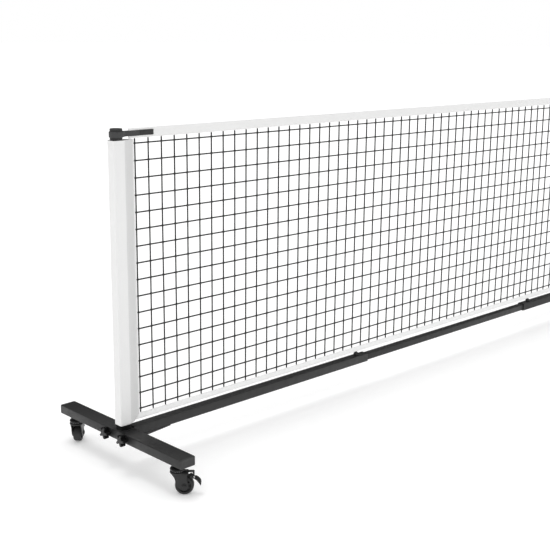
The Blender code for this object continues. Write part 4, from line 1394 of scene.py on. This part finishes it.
rail_ends()
for end in "lr":
    hub_piece(end)
    post_piece(end)
    sleeve_piece(end)
    strap_piece(end)
    for k in (1, 2, 3):
        lock_screw_piece(end, k)
    for sy in (-1, 1):
        tag = end + (("f" if sy < 0 else "b") if end == "l" else ("b" if sy < 0 else "f"))
        beam_piece(end, sy, tag)
        knob_piece("star_knob_" + tag, "knob_" + tag,
                   ENDS[end] @ shift(x=-BEAM_W / 2, y=sy * 37.5, z=BEAM_ZC) @ turn(180),
                   27.0)
        cw = caster_world(tag)
        mount_piece(tag, cw)
        fork_piece(tag, cw)
        wheel_piece(tag, cw)
        pedal_piece(tag, cw)
knob_piece("centre_knob", "knob_centre", shift(y=-14.6, z=RAIL_Z) @ turn(-90), 2.8)
tape_piece("top_tape", "net_tape_top", TOP_Z0, TOP_Z1, TOP_X, "top")
tape_piece("bottom_tape", "net_tape_bottom", BOT_Z0, BOT_Z1, BOT_X, "bottom")
net_pieces()
centre_pieces()


# ------------------------------------------------------------ floor, light, camera

def floor():
    me = bpy.data.meshes.new("floor")
    a = 60.0
    me.from_pydata([(-a, -a, -0.0004), (a, -a, -0.0004), (a, a, -0.0004),
                    (-a, a, -0.0004)], [], [[0, 1, 2, 3]])
    s = Nodes("pale_floor")
    col = s.ramp(s.noise(0.8, 3.0), [(0.3, 0.925), (0.7, 0.931)])
    # a white table that is lit a little from below
    mat = s.done(col, 0.9, spec=0.0)
    for n in mat.node_tree.nodes:
        if n.type == "BSDF_PRINCIPLED":
            n.inputs["Emission Color"].default_value = (1, 1, 1, 1)
            n.inputs["Emission Strength"].default_value = 0.17
    me.materials.append(mat)
    ob = bpy.data.objects.new("floor", me)
    bpy.context.scene.collection.objects.link(ob)


def world():
    """A white tent: even light for everything matt; what the glossy faces see
    is black flags low down that give way to the tent higher up."""
    w = bpy.data.worlds.new("studio")
    bpy.context.scene.world = w
    w.use_nodes = True
    t = w.node_tree
    t.nodes.clear()

    def node(kind, **props):
        n = t.nodes.new(kind)
        for k, v in props.items():
            setattr(n, k, v)
        return n

    out = node("ShaderNodeOutputWorld")
    seen, dome, gloss = (node("ShaderNodeBackground") for _ in range(3))
    tc = node("ShaderNodeTexCoord")
    sep = node("ShaderNodeSeparateXYZ")
    t.links.new(tc.outputs["Generated"], sep.inputs[0])
    # the tent is a little brighter on the left
    side = node("ShaderNodeMath", operation="MULTIPLY_ADD")
    side.inputs[1].default_value = -0.05
    side.inputs[2].default_value = 0.93
    t.links.new(sep.outputs["X"], side.inputs[0])
    t.links.new(side.outputs[0], dome.inputs["Strength"])
    dome.inputs["Color"].default_value = (1, 1, 1, 1)
    seen.inputs["Color"].default_value = (1, 1, 1, 1)
    ramp = node("ShaderNodeValToRGB")
    e = ramp.color_ramp.elements
    e[0].position, e[0].color = 0.0, (0.02, 0.02, 0.02, 1)
    e[1].position, e[1].color = 1.0, (0.9, 0.9, 0.9, 1)
    for p, c in ((0.35, 0.05), (0.7, 0.45)):
        m = e.new(p)
        m.color = (c, c, c, 1)
    t.links.new(sep.outputs["Z"], ramp.inputs["Fac"])
    t.links.new(ramp.outputs["Color"], gloss.inputs["Color"])
    path = node("ShaderNodeLightPath")
    a, b = node("ShaderNodeMixShader"), node("ShaderNodeMixShader")
    t.links.new(path.outputs["Is Glossy Ray"], a.inputs["Fac"])
    t.links.new(dome.outputs[0], a.inputs[1])
    t.links.new(gloss.outputs[0], a.inputs[2])
    t.links.new(path.outputs["Is Camera Ray"], b.inputs["Fac"])
    t.links.new(a.outputs[0], b.inputs[1])
    t.links.new(seen.outputs[0], b.inputs[2])
    t.links.new(b.outputs[0], out.inputs["Surface"])


def sun(name, towards, strength, spread):
    from mathutils import Vector
    d = bpy.data.lights.new(name, "SUN")
    d.energy = strength
    d.angle = math.radians(spread)
    ob = bpy.data.objects.new(name, d)
    ob.rotation_mode = "QUATERNION"
    ob.rotation_quaternion = Vector(towards).to_track_quat("Z", "Y")
    bpy.context.scene.collection.objects.link(ob)


def camera():
    """Stands before the left end and looks along the net."""
    from mathutils import Matrix
    d = bpy.data.cameras.new("camera")
    d.sensor_width = 36.0
    d.lens = 67.78
    d.clip_start, d.clip_end = 0.05, 400.0
    ob = bpy.data.objects.new("camera", d)
    ob.matrix_world = Matrix((
        (0.71659698, 0.15536213, -0.67996424, -4.8994),
        (-0.69742707, 0.17243272, -0.69560221, -2.1545),
        (0.00917784, 0.97269191, 0.23191853, 1.1630),
        (0.0, 0.0, 0.0, 1.0)))
    bpy.context.scene.collection.objects.link(ob)
    bpy.context.scene.camera = ob


floor()
world()
sun("overhead_softbox", (-0.06, 0.16, 1.0), 0.52, 20.0)
camera()
bpy.context.scene.view_settings.view_transform = "Standard"
